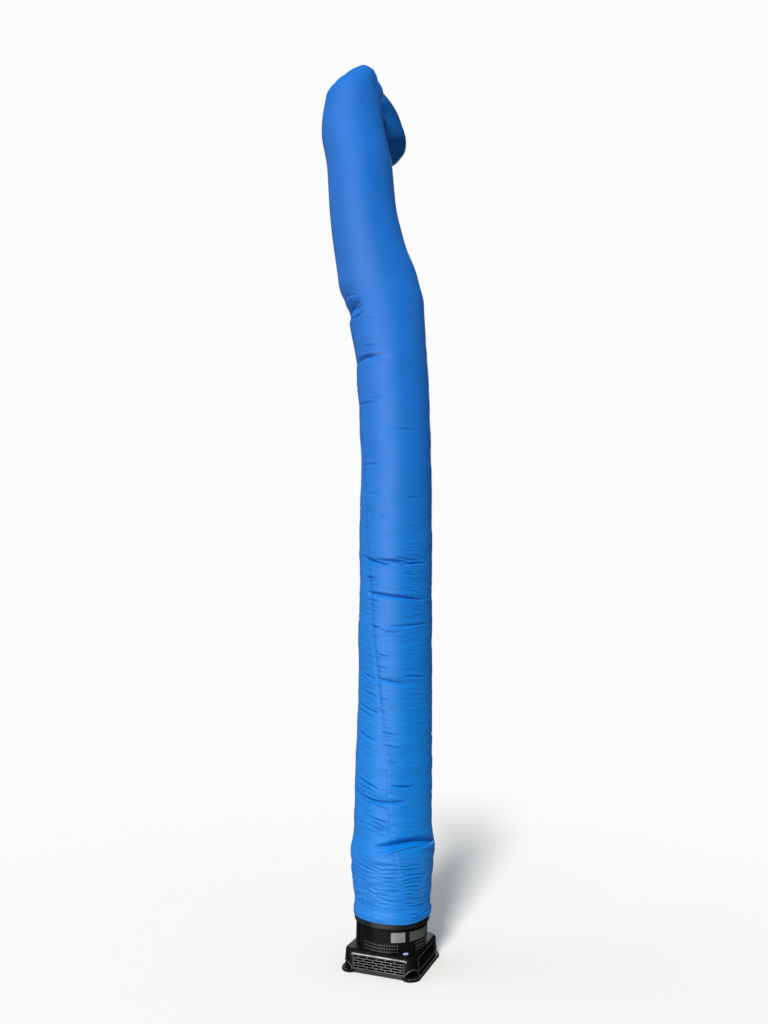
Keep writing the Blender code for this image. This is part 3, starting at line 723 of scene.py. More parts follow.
def rungs_of(ladders, seed):
    """The small creases of some ladders."""
    chance = np.random.RandomState(seed)
    rungs = []
    for ladder in ladders:
        step = (ladder.high - ladder.low) / ladder.count
        for i in range(ladder.count):
            shift = chance.uniform(-RUNG_SHIFT, RUNG_SHIFT)
            middle = ladder.low + step * (i + 0.5 + shift)
            half = ladder.half * chance.uniform(*RUNG_HALF)
            room = max(0.0, (ladder.right - ladder.left) / 2 - half)
            at = (ladder.left + ladder.right) / 2 + chance.uniform(-room, room)
            climb = ladder.climb * chance.uniform(*RUNG_CLIMB)
            bow = chance.uniform(-RUNG_BOW, RUNG_BOW)
            depth = ladder.depth * chance.uniform(*RUNG_DEPTH)
            start, end = middle - climb + bow, middle + climb + bow
            rungs.append(Crease(at - half, at + half, start, middle, end, depth, ladder.width))
    return rungs


SLEEVE_LADDERS = rows_of(
    Ladder,
    (0.330, 0.625, 8, 34, 18, 9, -0.003, 0.0030, 0.0046),
    (0.300, 0.345, 14, 44, 5, 8, -0.003, 0.0034, 0.0042),
    (0.330, 0.610, -34, 18, 30, 10, -0.003, 0.0021, 0.0052),
    (0.350, 0.600, -66, -20, 18, 9, -0.006, 0.0018, 0.0060),
    (0.325, 0.350, -50, 12, 7, 9, -0.002, 0.0022, 0.0046),
    (0.300, 0.620, 90, 330, 40, 14, -0.003, 0.0030, 0.0055),
)
ladder_creases = rungs_of(LADDERS, seed=5)
sleeve_ladder_creases = rungs_of(SLEEVE_LADDERS, seed=6)
print(len(ladder_creases + sleeve_ladder_creases), "small creases in ladders")

# %% [markdown]
# A crease in thin cloth is a narrow valley with a soft swelling on each side,
# because the cloth that sinks in has to come from somewhere. It dies away at
# both ends. All of them are worked out at once for a whole grid of points, as
# arrays, which is hundreds of times quicker than point by point.


# %% Push the cloth in along folds and creases
def wrap(angle):
    """An angle difference in degrees, from -180 to 180."""
    return (angle + 180) % 360 - 180


def ring_dip(height, angle):
    """The seam ring isn't level: it sags on the left, and its cloth with it."""
    tilt = RING_MEAN - RING_DIP * np.cos(np.radians(angle - RING_DIP_AT))
    return tilt * np.exp(-((height - SEAM_HEIGHT) / RING_REACH) ** 2)


def fold_trough(height, angle):
    """How far the main folds push in; the sleeve's seam holds it out."""
    free = np.clip((height - SEAM_HEIGHT - SEAM_HOLD) / SEAM_EASE, 0, 1)
    depth = np.zeros_like(height)
    for fold in FOLDS:
        past = wrap(angle - fold.at) / fold.half_angle
        inside = np.clip(past, -1, 1)
        beyond = np.maximum(0, (np.abs(past) - 1) * fold.half_angle / LEVEL_OUT)
        shift = fold.climb * inside - fold.arch * inside**2
        line = fold.height + shift * np.maximum(0, 1 - beyond)
        off = np.clip((height - line) / (2 * fold.half_height), -1, 1)
        depth += fold.depth * np.cos(pi * off / 2) ** 2 * (1 - inside**4)
    return depth * free


SHOULDER, SHOULDER_SPREAD, END_FADE = 0.34, 2.2, 0.7
CREASE_REACH = 4.5  # in crease widths, where its swelling has died away


def crease_depth(height, angle, creases):
    """How far a list of creases pushes the cloth in, less the swelling.

    A crease only needs the rows of the grid that it crosses.
    """
    depth = np.zeros_like(height)
    lowest, highest = height.min(axis=1), height.max(axis=1)
    for crease in creases:
        ends = (crease.start, crease.middle, crease.end)
        reach = CREASE_REACH * crease.width
        rows = (highest > min(ends) - reach) & (lowest < max(ends) + reach)
        middle = (crease.left + crease.right) / 2
        half = (crease.right - crease.left) / 2
        along = wrap(angle[rows] - middle) / half
        inside = np.clip(along, -1, 1)
        slope = (crease.end - crease.start) / 2
        bow = (crease.start + crease.end) / 2 - crease.middle
        line = crease.middle + slope * inside + bow * inside**2
        off = (height[rows] - line) / crease.width
        valley = np.exp(-off**2)
        swell = np.exp(-(off / SHOULDER_SPREAD) ** 2)
        fade = np.where(np.abs(along) < 1, (1 - inside**2) ** END_FADE, 0)
        depth[rows] += crease.depth * (valley - SHOULDER * swell) * fade * (1 + SHOULDER)
    return depth


NOISE_ROWS, NOISE_COLUMNS, NO_PERIOD = 509, 251, 4096
CLOTH_ROUND = 1.44  # the way round the tube, after which its noise repeats


def soft_noise(seed, x, y, x_size, y_size, x_period=None):
    """Smooth noise from -1 to 1 over a grid of x and y, with set lumps."""
    u, v = x / x_size, y / y_size
    columns = int(round(x_period / x_size)) if x_period else NO_PERIOD
    lattice = np.random.RandomState(seed).uniform(-1, 1, (NOISE_ROWS, NOISE_COLUMNS))
    i, j = np.floor(u).astype(int), np.floor(v).astype(int)
    s, t = u - i, v - j
    s, t = s * s * (3 - 2 * s), t * t * (3 - 2 * t)

    def at(a, b):
        return lattice[b % NOISE_ROWS, (a % columns) % NOISE_COLUMNS]

    low = at(i, j) * (1 - s) + at(i + 1, j) * s
    high = at(i, j + 1) * (1 - s) + at(i + 1, j + 1) * s
    return low * (1 - t) + high * t


test = crease_depth(np.array([[2.338]]), np.array([[-33.0]]), UPPER_CREASES)
print(f"the long crease is {test[0, 0] * 1000:.1f} mm deep at its middle")

# %% [markdown]
# ## The long seam
#
# The tube is cut as one flat panel and closed with one long lapped seam. The
# thread draws the cloth up a little, so a ladder of small puckers stands
# beside it. The seam winds round as the tube twists, and the mesh's columns
# follow it: the panel's edge is a real edge, lapped over its other edge.

# %% Lay out the seam
Seam = namedtuple("Seam", "height angle")
LONG_SEAM = rows_of(
    Seam,
    (0.662, 3), (0.747, 0), (0.976, -6), (1.205, -10),
    (1.475, -22), (1.829, -33), (2.400, -50), (3.000, -67),
    (3.700, -88), (4.600, -112), (5.580, -135),
)
SLEEVE_SEAM = rows_of(
    Seam,
    (0.270, 21), (0.324, 20), (0.390, 17), (0.468, 13),
    (0.547, 10), (0.630, 6), (0.670, 5),
)
LAP, LAP_LIFT, LAP_STARTS, SEAM_GROOVE = 0.012, 0.0020, 0.4, 0.008
TUBE_RADIUS = 0.2285
WHOLE_ROUND = 2 * pi * TUBE_RADIUS
PUCKER_SIZE, PUCKER_REACH, PUCKER_DEPTH = 0.0080, 0.052, 0.0036
PUCKER_SLOPE, PUCKER_GROUP, PUCKER_LEFT = 0.18, 2.6, 0.008
PUCKER_MEAN, PUCKER_SPREAD = 0.65, 0.5  # shares of their reach
SEAM_CROWDING = 0.72


def lay_panel(seam, heights, columns):
    """A sheet's grid, whose rows run from the seam right round and past it.

    The columns are closest together beside the seam, where the puckers are.
    It gives each point's angle, its height, its row's seam and how far round
    the cloth it lies.
    """
    steps = np.linspace(0, 1, columns)
    steps = steps - SEAM_CROWDING * np.sin(2 * pi * steps) / (2 * pi)
    seam_line = np.array([[smooth_rows(seam, height).angle] for height in heights])
    angles = seam_line + steps[None, :] * (360 + np.degrees(LAP / TUBE_RADIUS))
    height = np.repeat(heights[:, None], columns, axis=1)
    return angles, height, seam_line, np.radians(angles - seam_line) * TUBE_RADIUS


def seam_puckers(height, angle, seam_line, seed, reach=PUCKER_REACH):
    """Small ridges that run out from the seam, mostly to its right."""
    right = np.radians(wrap(angle - seam_line)) * TUBE_RADIUS
    level = height + PUCKER_SLOPE * right
    ladder = soft_noise(seed, height * 0 + 0.5, level, 1.0, PUCKER_SIZE)
    groups = soft_noise(seed + 1, height * 0 + 0.5, height, 1.0, PUCKER_SIZE * PUCKER_GROUP)
    length = reach * (PUCKER_MEAN + PUCKER_SPREAD * groups)
    fade = np.exp(-((right / np.where(right > 0, length, PUCKER_LEFT)) ** 2))
    return PUCKER_DEPTH * ladder * fade


def lap_rise(around):
    """How far the cloth has risen over its other edge, from 0 to 1."""
    return np.clip((around - WHOLE_ROUND) / LAP + LAP_STARTS, 0, 1)


print("the seam winds", LONG_SEAM[0].angle - LONG_SEAM[-1].angle, "degrees round")

# %% [markdown]
# ## The tube's sheet
#
# Rows are close together where the cloth is creased and far apart where the
# air pulls it smooth. Every point starts on its ring and is pushed in along
# the outward direction by folds, creases, puckers and a fine crumple.

# %% Build the tube
COLUMNS = 126
SHAFT_ROWS = [
    np.arange(SEAM_HEIGHT + CLOTH_GAP, 2.42, 0.0044),
    np.arange(2.42, 4.16, 0.0077),
    np.arange(4.16, 5.57, 0.027),
]
FOLD_ROWS, FLOP_ROWS = 88, 20
FOLD_FOOT, FOLD_LENGTH = 5.58, 0.930
FOLD_LEAD = 0.015  # from the shaft's last row to the fold's first
HELD_ABOVE, HELD_OVER = 0.004, 0.02  # the seam ring holds the tube's foot
PUCKERS_TOP = 3.4
EDGE_WIDTH, GROOVE_DEPTH = 0.004, 0.0016
PLEAT_DEPTH, PLEATS, FINE_PLEATS = 0.010, 9, 17
PLEATS_FROM, PLEATS_OVER = 0.06, 0.15
# Lumps of a fine and a broad crumple, and the patches where the fine one is.
FINE_LUMP, FINE_DEPTH, FINE_TOP, FINE_FADE = (0.075, 0.017), 0.0018, 3.3, 1.4
BROAD_LUMP, BROAD_DEPTH, BROAD_TOP, BROAD_FADE = (0.160, 0.060), 0.0024, 4.3, 0.8
PATCH_LUMP = (0.24, 0.22)
# Broad hollows on the fold, and the tuck beside them, by degrees of tip.
Dent = namedtuple("Dent", "tip angle depth half_tip half_angle")
DENTS = rows_of(
    Dent,
    (32, -8, 0.013, 26, 26),
    (26, 74, 0.030, 26, 22),
    (6, 94, 0.022, 22, 18),
    (86, 94, 0.048, 44, 26),
    (44, 24, -0.006, 12, 12),
)
TUCKS = rows_of(
    Crease,
    (45, 98, 5.870, 5.705, 5.520, 0.034, 0.0205),
    (60, 108, 5.905, 5.775, 5.570, -0.009, 0.022),
    (84, 108, 5.520, 5.440, 5.340, 0.008, 0.022),
    (-62, -20, 5.700, 5.655, 5.640, 0.004, 0.022),
    (60, 84, 4.900, 4.870, 4.850, 0.006, 0.018),
    (52, 78, 4.690, 4.660, 4.650, 0.005, 0.018),
    (40, 66, 5.210, 5.195, 5.190, 0.004, 0.016),
)


def fine_crumple(height, around):
    """A fine unevenness, strongest low down, in flat sideways lumps."""
    low = np.clip((FINE_TOP - height) / FINE_FADE, 0, 1)
    high = np.clip((BROAD_TOP - height) / BROAD_FADE, 0, 1)
    fine = soft_noise(3, around, height, *FINE_LUMP, CLOTH_ROUND)
    broad = soft_noise(4, around, height, *BROAD_LUMP, CLOTH_ROUND)
    where = 0.5 + 0.5 * soft_noise(5, around, height, *PATCH_LUMP, CLOTH_ROUND)
    return FINE_DEPTH * low * fine * where + BROAD_DEPTH * high * broad


def over_the_fold(tip):
    """How far along the cloth a row lies that is tipped that much."""
    return FOLD_FOOT + FOLD_LEAD + FOLD_LENGTH * np.asarray(tip) / 180


def dent_depth(along, angle):
    depth = np.zeros_like(along)
    for dent in DENTS:
        up = (along - over_the_fold(dent.tip)) / (FOLD_LENGTH * dent.half_tip / 180)
        across = wrap(angle - dent.angle) / dent.half_angle
        depth += dent.depth * np.exp(-up**2 - across**2)
    return depth


def flop_pleats(along, angle):
    """Gathers that run down the flop to its tip, where the air escapes."""
    near = np.clip((along - over_the_fold(180) - PLEATS_FROM) / PLEATS_OVER, 0, 1)
    turn = np.radians(angle)
    wave = 0.6 * np.sin(turn * PLEATS + 1.0) + 0.4 * np.sin(turn * FINE_PLEATS)
    return PLEAT_DEPTH * near * (1 - near) ** 0.5 * wave


ClothGrid = namedtuple("ClothGrid", "points around height")


def build_tube():
    heights = np.concatenate(SHAFT_ROWS)
    tips = np.linspace(0, 180, FOLD_ROWS + 1)
    drops = FLOP[-1].drop * np.sin(np.linspace(0, pi / 2, FLOP_ROWS + 1)[1:])
    sections = [shaft_section(height) for height in heights]
    sections += [tipped_section(tip) for tip in tips]
    sections += [hanging_section(drop) for drop in drops]
    along = np.concatenate([heights, over_the_fold(tips), over_the_fold(180) + drops])
    angles, height, seam_line, around = lay_panel(LONG_SEAM, along, COLUMNS)
    rings = [ring_points(s, a) for s, a in zip(sections, angles)]
    points = np.array([ring[0] for ring in rings])
    outward = np.array([ring[1] for ring in rings])

    creases = tube_creases + ladder_creases + back_creases + TUCKS
    free = np.clip((height - SEAM_HEIGHT - HELD_ABOVE) / HELD_OVER, 0, 1)
    dip = ring_dip(height, angles)
    push = fold_trough(height + dip, angles) * free
    push += crease_depth(height + dip, angles, creases) * free
    push += seam_puckers(height, angles, seam_line, 21) * free * (height < PUCKERS_TOP)
    push += fine_crumple(height, around) * free
    push += dent_depth(height, angles) + flop_pleats(height, angles)
    groove = np.exp(-((around - WHOLE_ROUND + SEAM_GROOVE) / SEAM_GROOVE) ** 2)
    groove += np.exp(-((around - WHOLE_ROUND - LAP / 2) / EDGE_WIDTH) ** 2)
    push += GROOVE_DEPTH * groove
    push -= LAP_LIFT * lap_rise(around)
    points = points - outward * push[:, :, None]
    points[:, :, 2] += dip
    uvs = np.stack([around, height], axis=-1)

    mesh = grid_mesh(points, uvs)
    bm = bmesh.new()
    bm.from_mesh(mesh)
    bm.verts.ensure_lookup_table()
    bmesh.ops.remove_doubles(bm, verts=bm.verts[-COLUMNS:], dist=0.001)
    bm.to_mesh(mesh)
    bm.free()
    return add_object("air_tube", mesh), ClothGrid(points, around, height)


tube, tube_grid = build_tube()
print(len(tube.data.polygons), "quads in the tube's sheet")

# %% [markdown]
# ## The base sleeve
#
# A round sleeve of the same nylon is sewn to the tube's foot, and its hem
# hugs the blower's outlet. The hem is turned up inside and stitched. It is
# one sheet: down the outside, round the fold at the bottom, and up the inside
# to the stitches.

# %% Build the sleeve
SLEEVE_COLUMNS, SLEEVE_STEP = 300, 0.0027
HEM_DEPTH, HEM_GAP, HEM_START, HEM_STEP = 0.046, 0.0022, 0.004, 0.006
HEM_ROLL = [(0.0010, 0), (-0.0002, 0.0006), (0, 0.0017), (0.0014, HEM_GAP)]  # rise, gap
HEM_STITCH, HEM_GROOVE, HEM_SWELL = 0.040, 0.0044, 0.0032
GROOVE_RISE, GROOVE_WIDTH, SWELL_OVER = 0.002, 0.0036, 0.006
HEM_SHIFT_OVER = 0.10  # above which the hem's own line no longer shows
SLEEVE_FINE, SLEEVE_FINE_DEPTH = (0.055, 0.016), 0.0018
SLEEVE_BROAD, SLEEVE_BROAD_DEPTH = (0.120, 0.060), 0.0034
STITCH_LUMP, SWELL_LUMP = (0.016, 0.010), (0.03, 0.03)
SLEEVE_PUCKERS = 0.055
RING_GAP, HELD_UNDER = 0.002, 0.014  # the seam ring holds the sleeve's top
LOW_OVER, LOW_LEAST, INSIDE_SHARE, LEAST_ROOM = 0.030, 0.25, 0.15, 0.0004
COLLAR_STANDS, COLLAR_ENDS = 0.2200, 0.358  # the outlet's radius and top
Hem = namedtuple("Hem", "angle height")
HEM_LINE = rows_of(
    Hem,
    (-180, 0.279), (-110, 0.278), (-72, 0.279), (-45, 0.283),
    (-18, 0.282), (4, 0.278), (20, 0.276), (36, 0.279),
    (54, 0.283), (75, 0.282), (120, 0.278), (180, 0.279),
)


def soft_limit(push, most):
    """A push that comes close to a limit but never past it."""
    inwards = np.maximum(push, 0)
    return np.where(push > 0, most * inwards / (inwards + most), push)


def sleeve_radius(heights):
    return np.array([smooth_rows(SLEEVE, height).radius for height in heights])


def build_sleeve():
    bottom = SLEEVE[0].height
    outside = np.arange(SEAM_HEIGHT + RING_GAP, bottom, -SLEEVE_STEP)
    inside = np.arange(bottom + HEM_START, bottom + HEM_DEPTH, HEM_STEP)
    heights = np.concatenate([outside, [bottom + rise for rise, gap in HEM_ROLL], inside])
    gaps = np.concatenate(
        [0 * outside, [gap for rise, gap in HEM_ROLL], np.full(len(inside), HEM_GAP)]
    )
    heights, gaps = heights[::-1], gaps[::-1]

    panel = lay_panel(SLEEVE_SEAM, heights, SLEEVE_COLUMNS)
    angles, height, seam_line, around = panel
    table_angles = [row.angle for row in HEM_LINE]
    table_heights = [row.height for row in HEM_LINE]
    hem_shift = np.interp(wrap(angles), table_angles, table_heights) - bottom
    sink = hem_shift * np.clip(1 - (height - bottom) / HEM_SHIFT_OVER, 0, 1)

    dip = ring_dip(height, angles)
    push = crease_depth(height + dip, angles, sleeve_creases + sleeve_ladder_creases)
    push += seam_puckers(height, angles, seam_line, 31, SLEEVE_PUCKERS)
    fine = soft_noise(33, around, height, *SLEEVE_FINE, CLOTH_ROUND)
    broad = soft_noise(34, around, height, *SLEEVE_BROAD, CLOTH_ROUND)
    push += SLEEVE_FINE_DEPTH * fine
    push += SLEEVE_BROAD_DEPTH * broad
    stitch = np.exp(-((height - bottom - HEM_STITCH - GROOVE_RISE) / GROOVE_WIDTH) ** 2)
    uneven = soft_noise(35, around, height, *STITCH_LUMP, CLOTH_ROUND)
    push += HEM_GROOVE * stitch * (1 + 0.6 * uneven)
    band = np.clip((height - bottom) / SWELL_OVER, 0, 1) * (height < bottom + HEM_STITCH)
    puffed = soft_noise(36, around, height, *SWELL_LUMP, CLOTH_ROUND)
    push -= HEM_SWELL * band * (1 + 0.5 * puffed)
    held = np.clip((SEAM_HEIGHT - RING_GAP - height) / HELD_UNDER, 0, 1)
    low = np.clip((height - bottom) / LOW_OVER, LOW_LEAST, 1)
    outside_only = np.where(gaps[:, None] > 0, INSIDE_SHARE, 1.0)
    push *= held * low * outside_only
    room = sleeve_radius(heights)[:, None] - COLLAR_STANDS - HEM_GAP
    limited = soft_limit(push, np.maximum(room, LEAST_ROOM))
    push = np.where(height < COLLAR_ENDS, limited, push)

    lift = LAP_LIFT * lap_rise(around)
    radius = sleeve_radius(heights)[:, None] - gaps[:, None] - push + lift
    turn = np.radians(angles) + TUBE_TURN
    points = np.stack(
        [radius * np.sin(turn), -radius * np.cos(turn), height + sink + dip], axis=-1
    )
    mesh = grid_mesh(points, np.stack([around, height], axis=-1))
    show = gaps == 0
    grid = ClothGrid(points[show], around[show], height[show])
    return add_object("base_sleeve_cloth", mesh), grid


sleeve, sleeve_grid = build_sleeve()
print(len(sleeve.data.polygons), "quads in the sleeve")

# %% [markdown]
# ## Stitches
#
# Pale thread holds the seams and the hem. Each stitch is a small raised dash
# that dips into the cloth at both ends. The dashes follow lines on the two
# sheets, up a seam or round a ring, so they rise and fall with every crease.

# %% Sew the stitches
CORNERS = 9  # of one dash: three triangles, at its ends and its middle
DASH, PITCH = 0.0052, 0.0076
THREAD_HALF, THREAD_HIGH = 0.0007, 0.0005
EDGES = (0.0030, 0.0090)  # two rows on a lap, from its edge
TUBE_STITCHED, SLEEVE_STITCHED = (0.668, 5.50), (0.285, 0.656)
RING_STITCH = 0.006  # below the seam ring
DASH_SIDES = [(0, 1, 4, 3), (1, 2, 5, 4), (2, 0, 3, 5)]
DASH_FACES = DASH_SIDES + [tuple(i + 3 for i in side) for side in DASH_SIDES]
DASH_FACES += [(0, 2, 1), (6, 7, 8)]


def read_line(at, run, line):
    """The places on a line at some distances along it."""
    return np.stack([np.interp(at, run, line[:, k]) for k in range(3)], axis=-1)


def line_up(grid, past_edge, low, high):
    """Places up a sheet's lap, at one distance past its edge."""
    rows = np.argsort(grid.height[:, 0])
    rows = [i for i in rows if low < grid.height[i, 0] < high]
    around = WHOLE_ROUND + past_edge
    return np.array([read_line(around, grid.around[i], grid.points[i]) for i in rows])


def line_round(grid, level):
    """Places round a sheet, on the row nearest to a height."""
    return grid.points[int(np.argmin(np.abs(grid.height[:, 0] - level)))]


def outwards_of(line):
    """The level way out from the tube's middle, at each place of a line."""
    heights = np.clip(line[:, 2], TUBE[0].height, TUBE[-1].height)
    out = line - np.array([shaft_section(height).middle[:] for height in heights])
    out[:, 2] = 0
    return out / np.linalg.norm(out, axis=1, keepdims=True)


def dashes_on(line):
    """The nine corners of every dash along a line."""
    out = outwards_of(line)
    steps = np.linalg.norm(np.diff(line, axis=0), axis=1)
    run = np.concatenate([[0], np.cumsum(steps)])
    starts = np.arange(PITCH / 2, run[-1] - DASH, PITCH)
    at = starts[:, None] + np.array([0, DASH / 2, DASH])
    here, away = read_line(at, run, line), read_line(at, run, out)
    along = here[:, 2:] - here[:, :1]
    across = np.cross(along / np.linalg.norm(along, axis=-1, keepdims=True), away)
    here[:, 1] += 2 * THREAD_HIGH * away[:, 1]
    foot = here - THREAD_HIGH * away
    side, top = THREAD_HALF * across, here + THREAD_HIGH * away
    return np.stack([foot - side, foot + side, top], axis=2).reshape(-1, CORNERS, 3)


def add_stitches(name, lines):
    dashes = np.concatenate([dashes_on(line) for line in lines])
    faces = [
        tuple(CORNERS * n + i for i in face) for n in range(len(dashes)) for face in DASH_FACES
    ]
    mesh = bpy.data.meshes.new(name)
    mesh.from_pydata(dashes.reshape(-1, 3).tolist(), [], faces)
    bm = bmesh.new()
    bm.from_mesh(mesh)
    bmesh.ops.recalc_face_normals(bm, faces=bm.faces)
    bm.to_mesh(mesh)
    bm.free()
    print(len(dashes), "dashes in", name)
    return add_object(name, mesh)


tube_stitches = add_stitches(
    "seam_stitches", [line_up(tube_grid, edge, *TUBE_STITCHED) for edge in EDGES]
)
sleeve_lines = [line_up(sleeve_grid, edge, *SLEEVE_STITCHED) for edge in EDGES]
for level in (SEAM_HEIGHT - RING_STITCH, SLEEVE[0].height + HEM_STITCH):
    sleeve_lines.append(line_round(sleeve_grid, level))
sleeve_stitches = add_stitches("sleeve_stitches", sleeve_lines)

# %% [markdown]
# ## Nylon
#
# Air dancers are sewn from thin plain-woven nylon. It is matt with a faint
# sheen, and light grazing it turns paler. The weave is far finer than a
# millimetre, so it only softens the highlights close up. Slow changes of
# tone come from handling and from the cloth being slacker in some places.
# Higher up, the blue is painted paler and redder: a painted reflection of
# the sky. The end that hangs behind is painted a deeper blue: painted shade.
# The sleeve takes a copy that is a little shinier, because slack cloth
# catches the light on many small facets.

# %% Make the nylon
# the second blue is paler and redder, painted higher up the tube as a painted reflection of
# the sky
NYLON_BLUE, NYLON_PAINTED_SHEEN = (0.0010, 0.181, 0.590), (0.0120, 0.162, 0.615)
NYLON_DEEP = (0.0008, 0.148, 0.565)
# the end that hangs behind the fold is painted a deeper blue: painted shade
FLOP_PAINTED_SHADE, FLOP_FROM, FLOP_TO = (0.0008, 0.085, 0.330), 6.00, 6.30
PAINTED_SHEEN_ABOVE, PLAIN_BLUE_BELOW = 3.6, 1.4  # heights in metres
SLACK_BELOW, TAUT_ABOVE, TAUT_RELIEF = 2.2, 3.5, 0.1
PATCH_SCALE, DEEP_BELOW, BLUE_ABOVE, DEEPEST = 2.2, 0.3, 0.75, 0.45
WRINKLE_SCALE, WRINKLE_DEPTH = (7.0, 46.0, 1.0), 0.0035  # flat, sideways lumps
WEAVE_SCALE, WEAVE_DEPTH = 260.0, 0.0003
SLEEVE_SHINE = 0.29

nylon = Finish(
    "blue_nylon", NYLON_BLUE, 0.42, Specular_IOR_Level=0.19, Sheen_Weight=0.01,
    Sheen_Roughness=0.4, Sheen_Tint=(0.75, 0.86, 1.0, 1.0),
)
cloth = nylon.node("UVMap", uv_map="cloth").outputs["UV"]
up_the_tube = nylon.node("SeparateXYZ", {"Vector": cloth}).outputs["Y"]
patches = nylon.noise(cloth, PATCH_SCALE, 4.0)
# painted reflection: the blue turns paler and redder up the tube
painted_sheen_share = nylon.spread(up_the_tube, PLAIN_BLUE_BELOW, PAINTED_SHEEN_ABOVE)
with_painted_sheen = nylon.mix_colours(painted_sheen_share, NYLON_BLUE, NYLON_PAINTED_SHEEN)
shaded = nylon.spread(patches, DEEP_BELOW, BLUE_ABOVE, DEEPEST, 0.0)
uneven = nylon.mix_colours(shaded, with_painted_sheen, NYLON_DEEP)
# painted shade on the end that hangs behind the fold
flop_shade_share = nylon.spread(up_the_tube, FLOP_FROM, FLOP_TO)
nylon.join(nylon.mix_colours(flop_shade_share, uneven, FLOP_PAINTED_SHADE), "Base Color")
nylon.vary_roughness(patches, 0.38, 0.46)
lumps = nylon.node("Mapping", {"Vector": cloth}, {"Scale": WRINKLE_SCALE})
wrinkles = nylon.noise(lumps.outputs["Vector"], 1.0, 3.0, 0.55)
slack = nylon.spread(up_the_tube, SLACK_BELOW, TAUT_ABOVE, 1.0, TAUT_RELIEF)
relief = nylon.bump(nylon.product(wrinkles, slack), WRINKLE_DEPTH)
nylon.bump(nylon.noise(cloth, WEAVE_SCALE, 2.0, 0.6), WEAVE_DEPTH, relief)

slack_nylon = nylon.material.copy()
slack_nylon.name = "slack_sleeve_nylon"
shader = slack_nylon.node_tree.nodes["Principled BSDF"]
shader.inputs["Specular IOR Level"].default_value = SLEEVE_SHINE

thread = Finish("sewing_thread", (0.10, 0.32, 0.70), 0.5, Specular_IOR_Level=0.3)
twist = thread.noise(thread.where(), 700.0, 2.0)
thread.blend_colours(twist, (0.012, 0.17, 0.56), (0.060, 0.27, 0.68))
for piece, finish in (
    (tube, nylon.material), (sleeve, slack_nylon),
    (tube_stitches, thread.material), (sleeve_stitches, thread.material),
):
    piece.data.materials.append(finish)
    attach(piece, "root")
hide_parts("dancer_tube")
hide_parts("base_sleeve")
print("nylon on the tube and the sleeve")

# %% [markdown]
# ## Moulded plastic
#
# The blower's housing is black polypropylene with a fine sandy grain from its
# mould, and the grilles are a shade greyer. Where hands and lorry floors rub
# them, their edges turn paler and shinier, so the rounded edges, lips, ribs and
# fins get a paler, glossier finish of their own. It is partly that rubbed wear,
# and partly painted highlights: the glints that these edges catch. The outlet's
# collar is painted a little paler than the housing, which paints the sheen
# along its middle. Deep inside a slot, next to no light comes back.

# %% Make the plastics
CLOUD_SCALE, GRAIN_SCALE, GRAIN_DEPTH = 11.0, 900.0, 0.00018


def moulded(name, dark, light, roughness, shine):
    """A satin plastic, cloudy in tone and gloss, with a fine grain."""
    finish = Finish(name, light, roughness, Specular_IOR_Level=shine)
    where = finish.where()
    cloudy = finish.noise(where, CLOUD_SCALE, 5.0)
    finish.blend_colours(cloudy, dark, light)
    finish.vary_roughness(cloudy, roughness - 0.06, roughness + 0.08)
    finish.bump(finish.noise(where, GRAIN_SCALE, 2.0), GRAIN_DEPTH)
    return finish


def grained(name, dark, light, roughness, scale, depth, **sockets):
    """A plain finish whose tone and relief come from one noise."""
    finish = Finish(name, light, roughness, **sockets)
    cloudy = finish.noise(finish.where(), scale, 4.0)
    finish.blend_colours(cloudy, dark, light)
    finish.bump(cloudy, depth)
    return finish


black = moulded(
    "black_housing_plastic", (0.0024, 0.0025, 0.0024), (0.0062, 0.0064, 0.0062), 0.40, 0.045
)
grey = moulded(
    "grey_grille_plastic", (0.010, 0.0105, 0.0105), (0.022, 0.0225, 0.023), 0.34, 0.13
)
# paler, glossier edges: rubbed wear, and painted highlights that the edges catch
black_wear_and_glint = moulded(
    "black_edges_wear_and_glint", (0.035, 0.036, 0.037), (0.080, 0.082, 0.084), 0.26, 0.55
)
grey_wear_and_glint = moulded(
    "grey_edges_wear_and_glint", (0.050, 0.052, 0.054), (0.17, 0.174, 0.178), 0.28, 0.32
)
# the pale lip along each grille's top: a painted highlight on a rubbed edge
lip_highlight = moulded(
    "pale_lip_painted_highlight", (0.13, 0.134, 0.137), (0.60, 0.61, 0.61), 0.24, 0.42
)
# a paler black for the collar, which paints the sheen along its middle
collar_black_sheen = moulded(
    "collar_black_painted_sheen", (0.0050, 0.0052, 0.0050), (0.0150, 0.0154, 0.0150), 0.38, 0.17
)
deep = grained(
    "unlit_slot_black", (0.0008, 0.0008, 0.0008), (0.0022, 0.0022, 0.0022), 0.9, 60.0, 0.0002,
    Specular_IOR_Level=0.0,
)
# Each stands for the plastic that its piece is moulded from.
black_wear_and_glint.name = deep.name = collar_black_sheen.name = "black_housing_plastic"
grey_wear_and_glint.name = lip_highlight.name = "grey_grille_plastic"

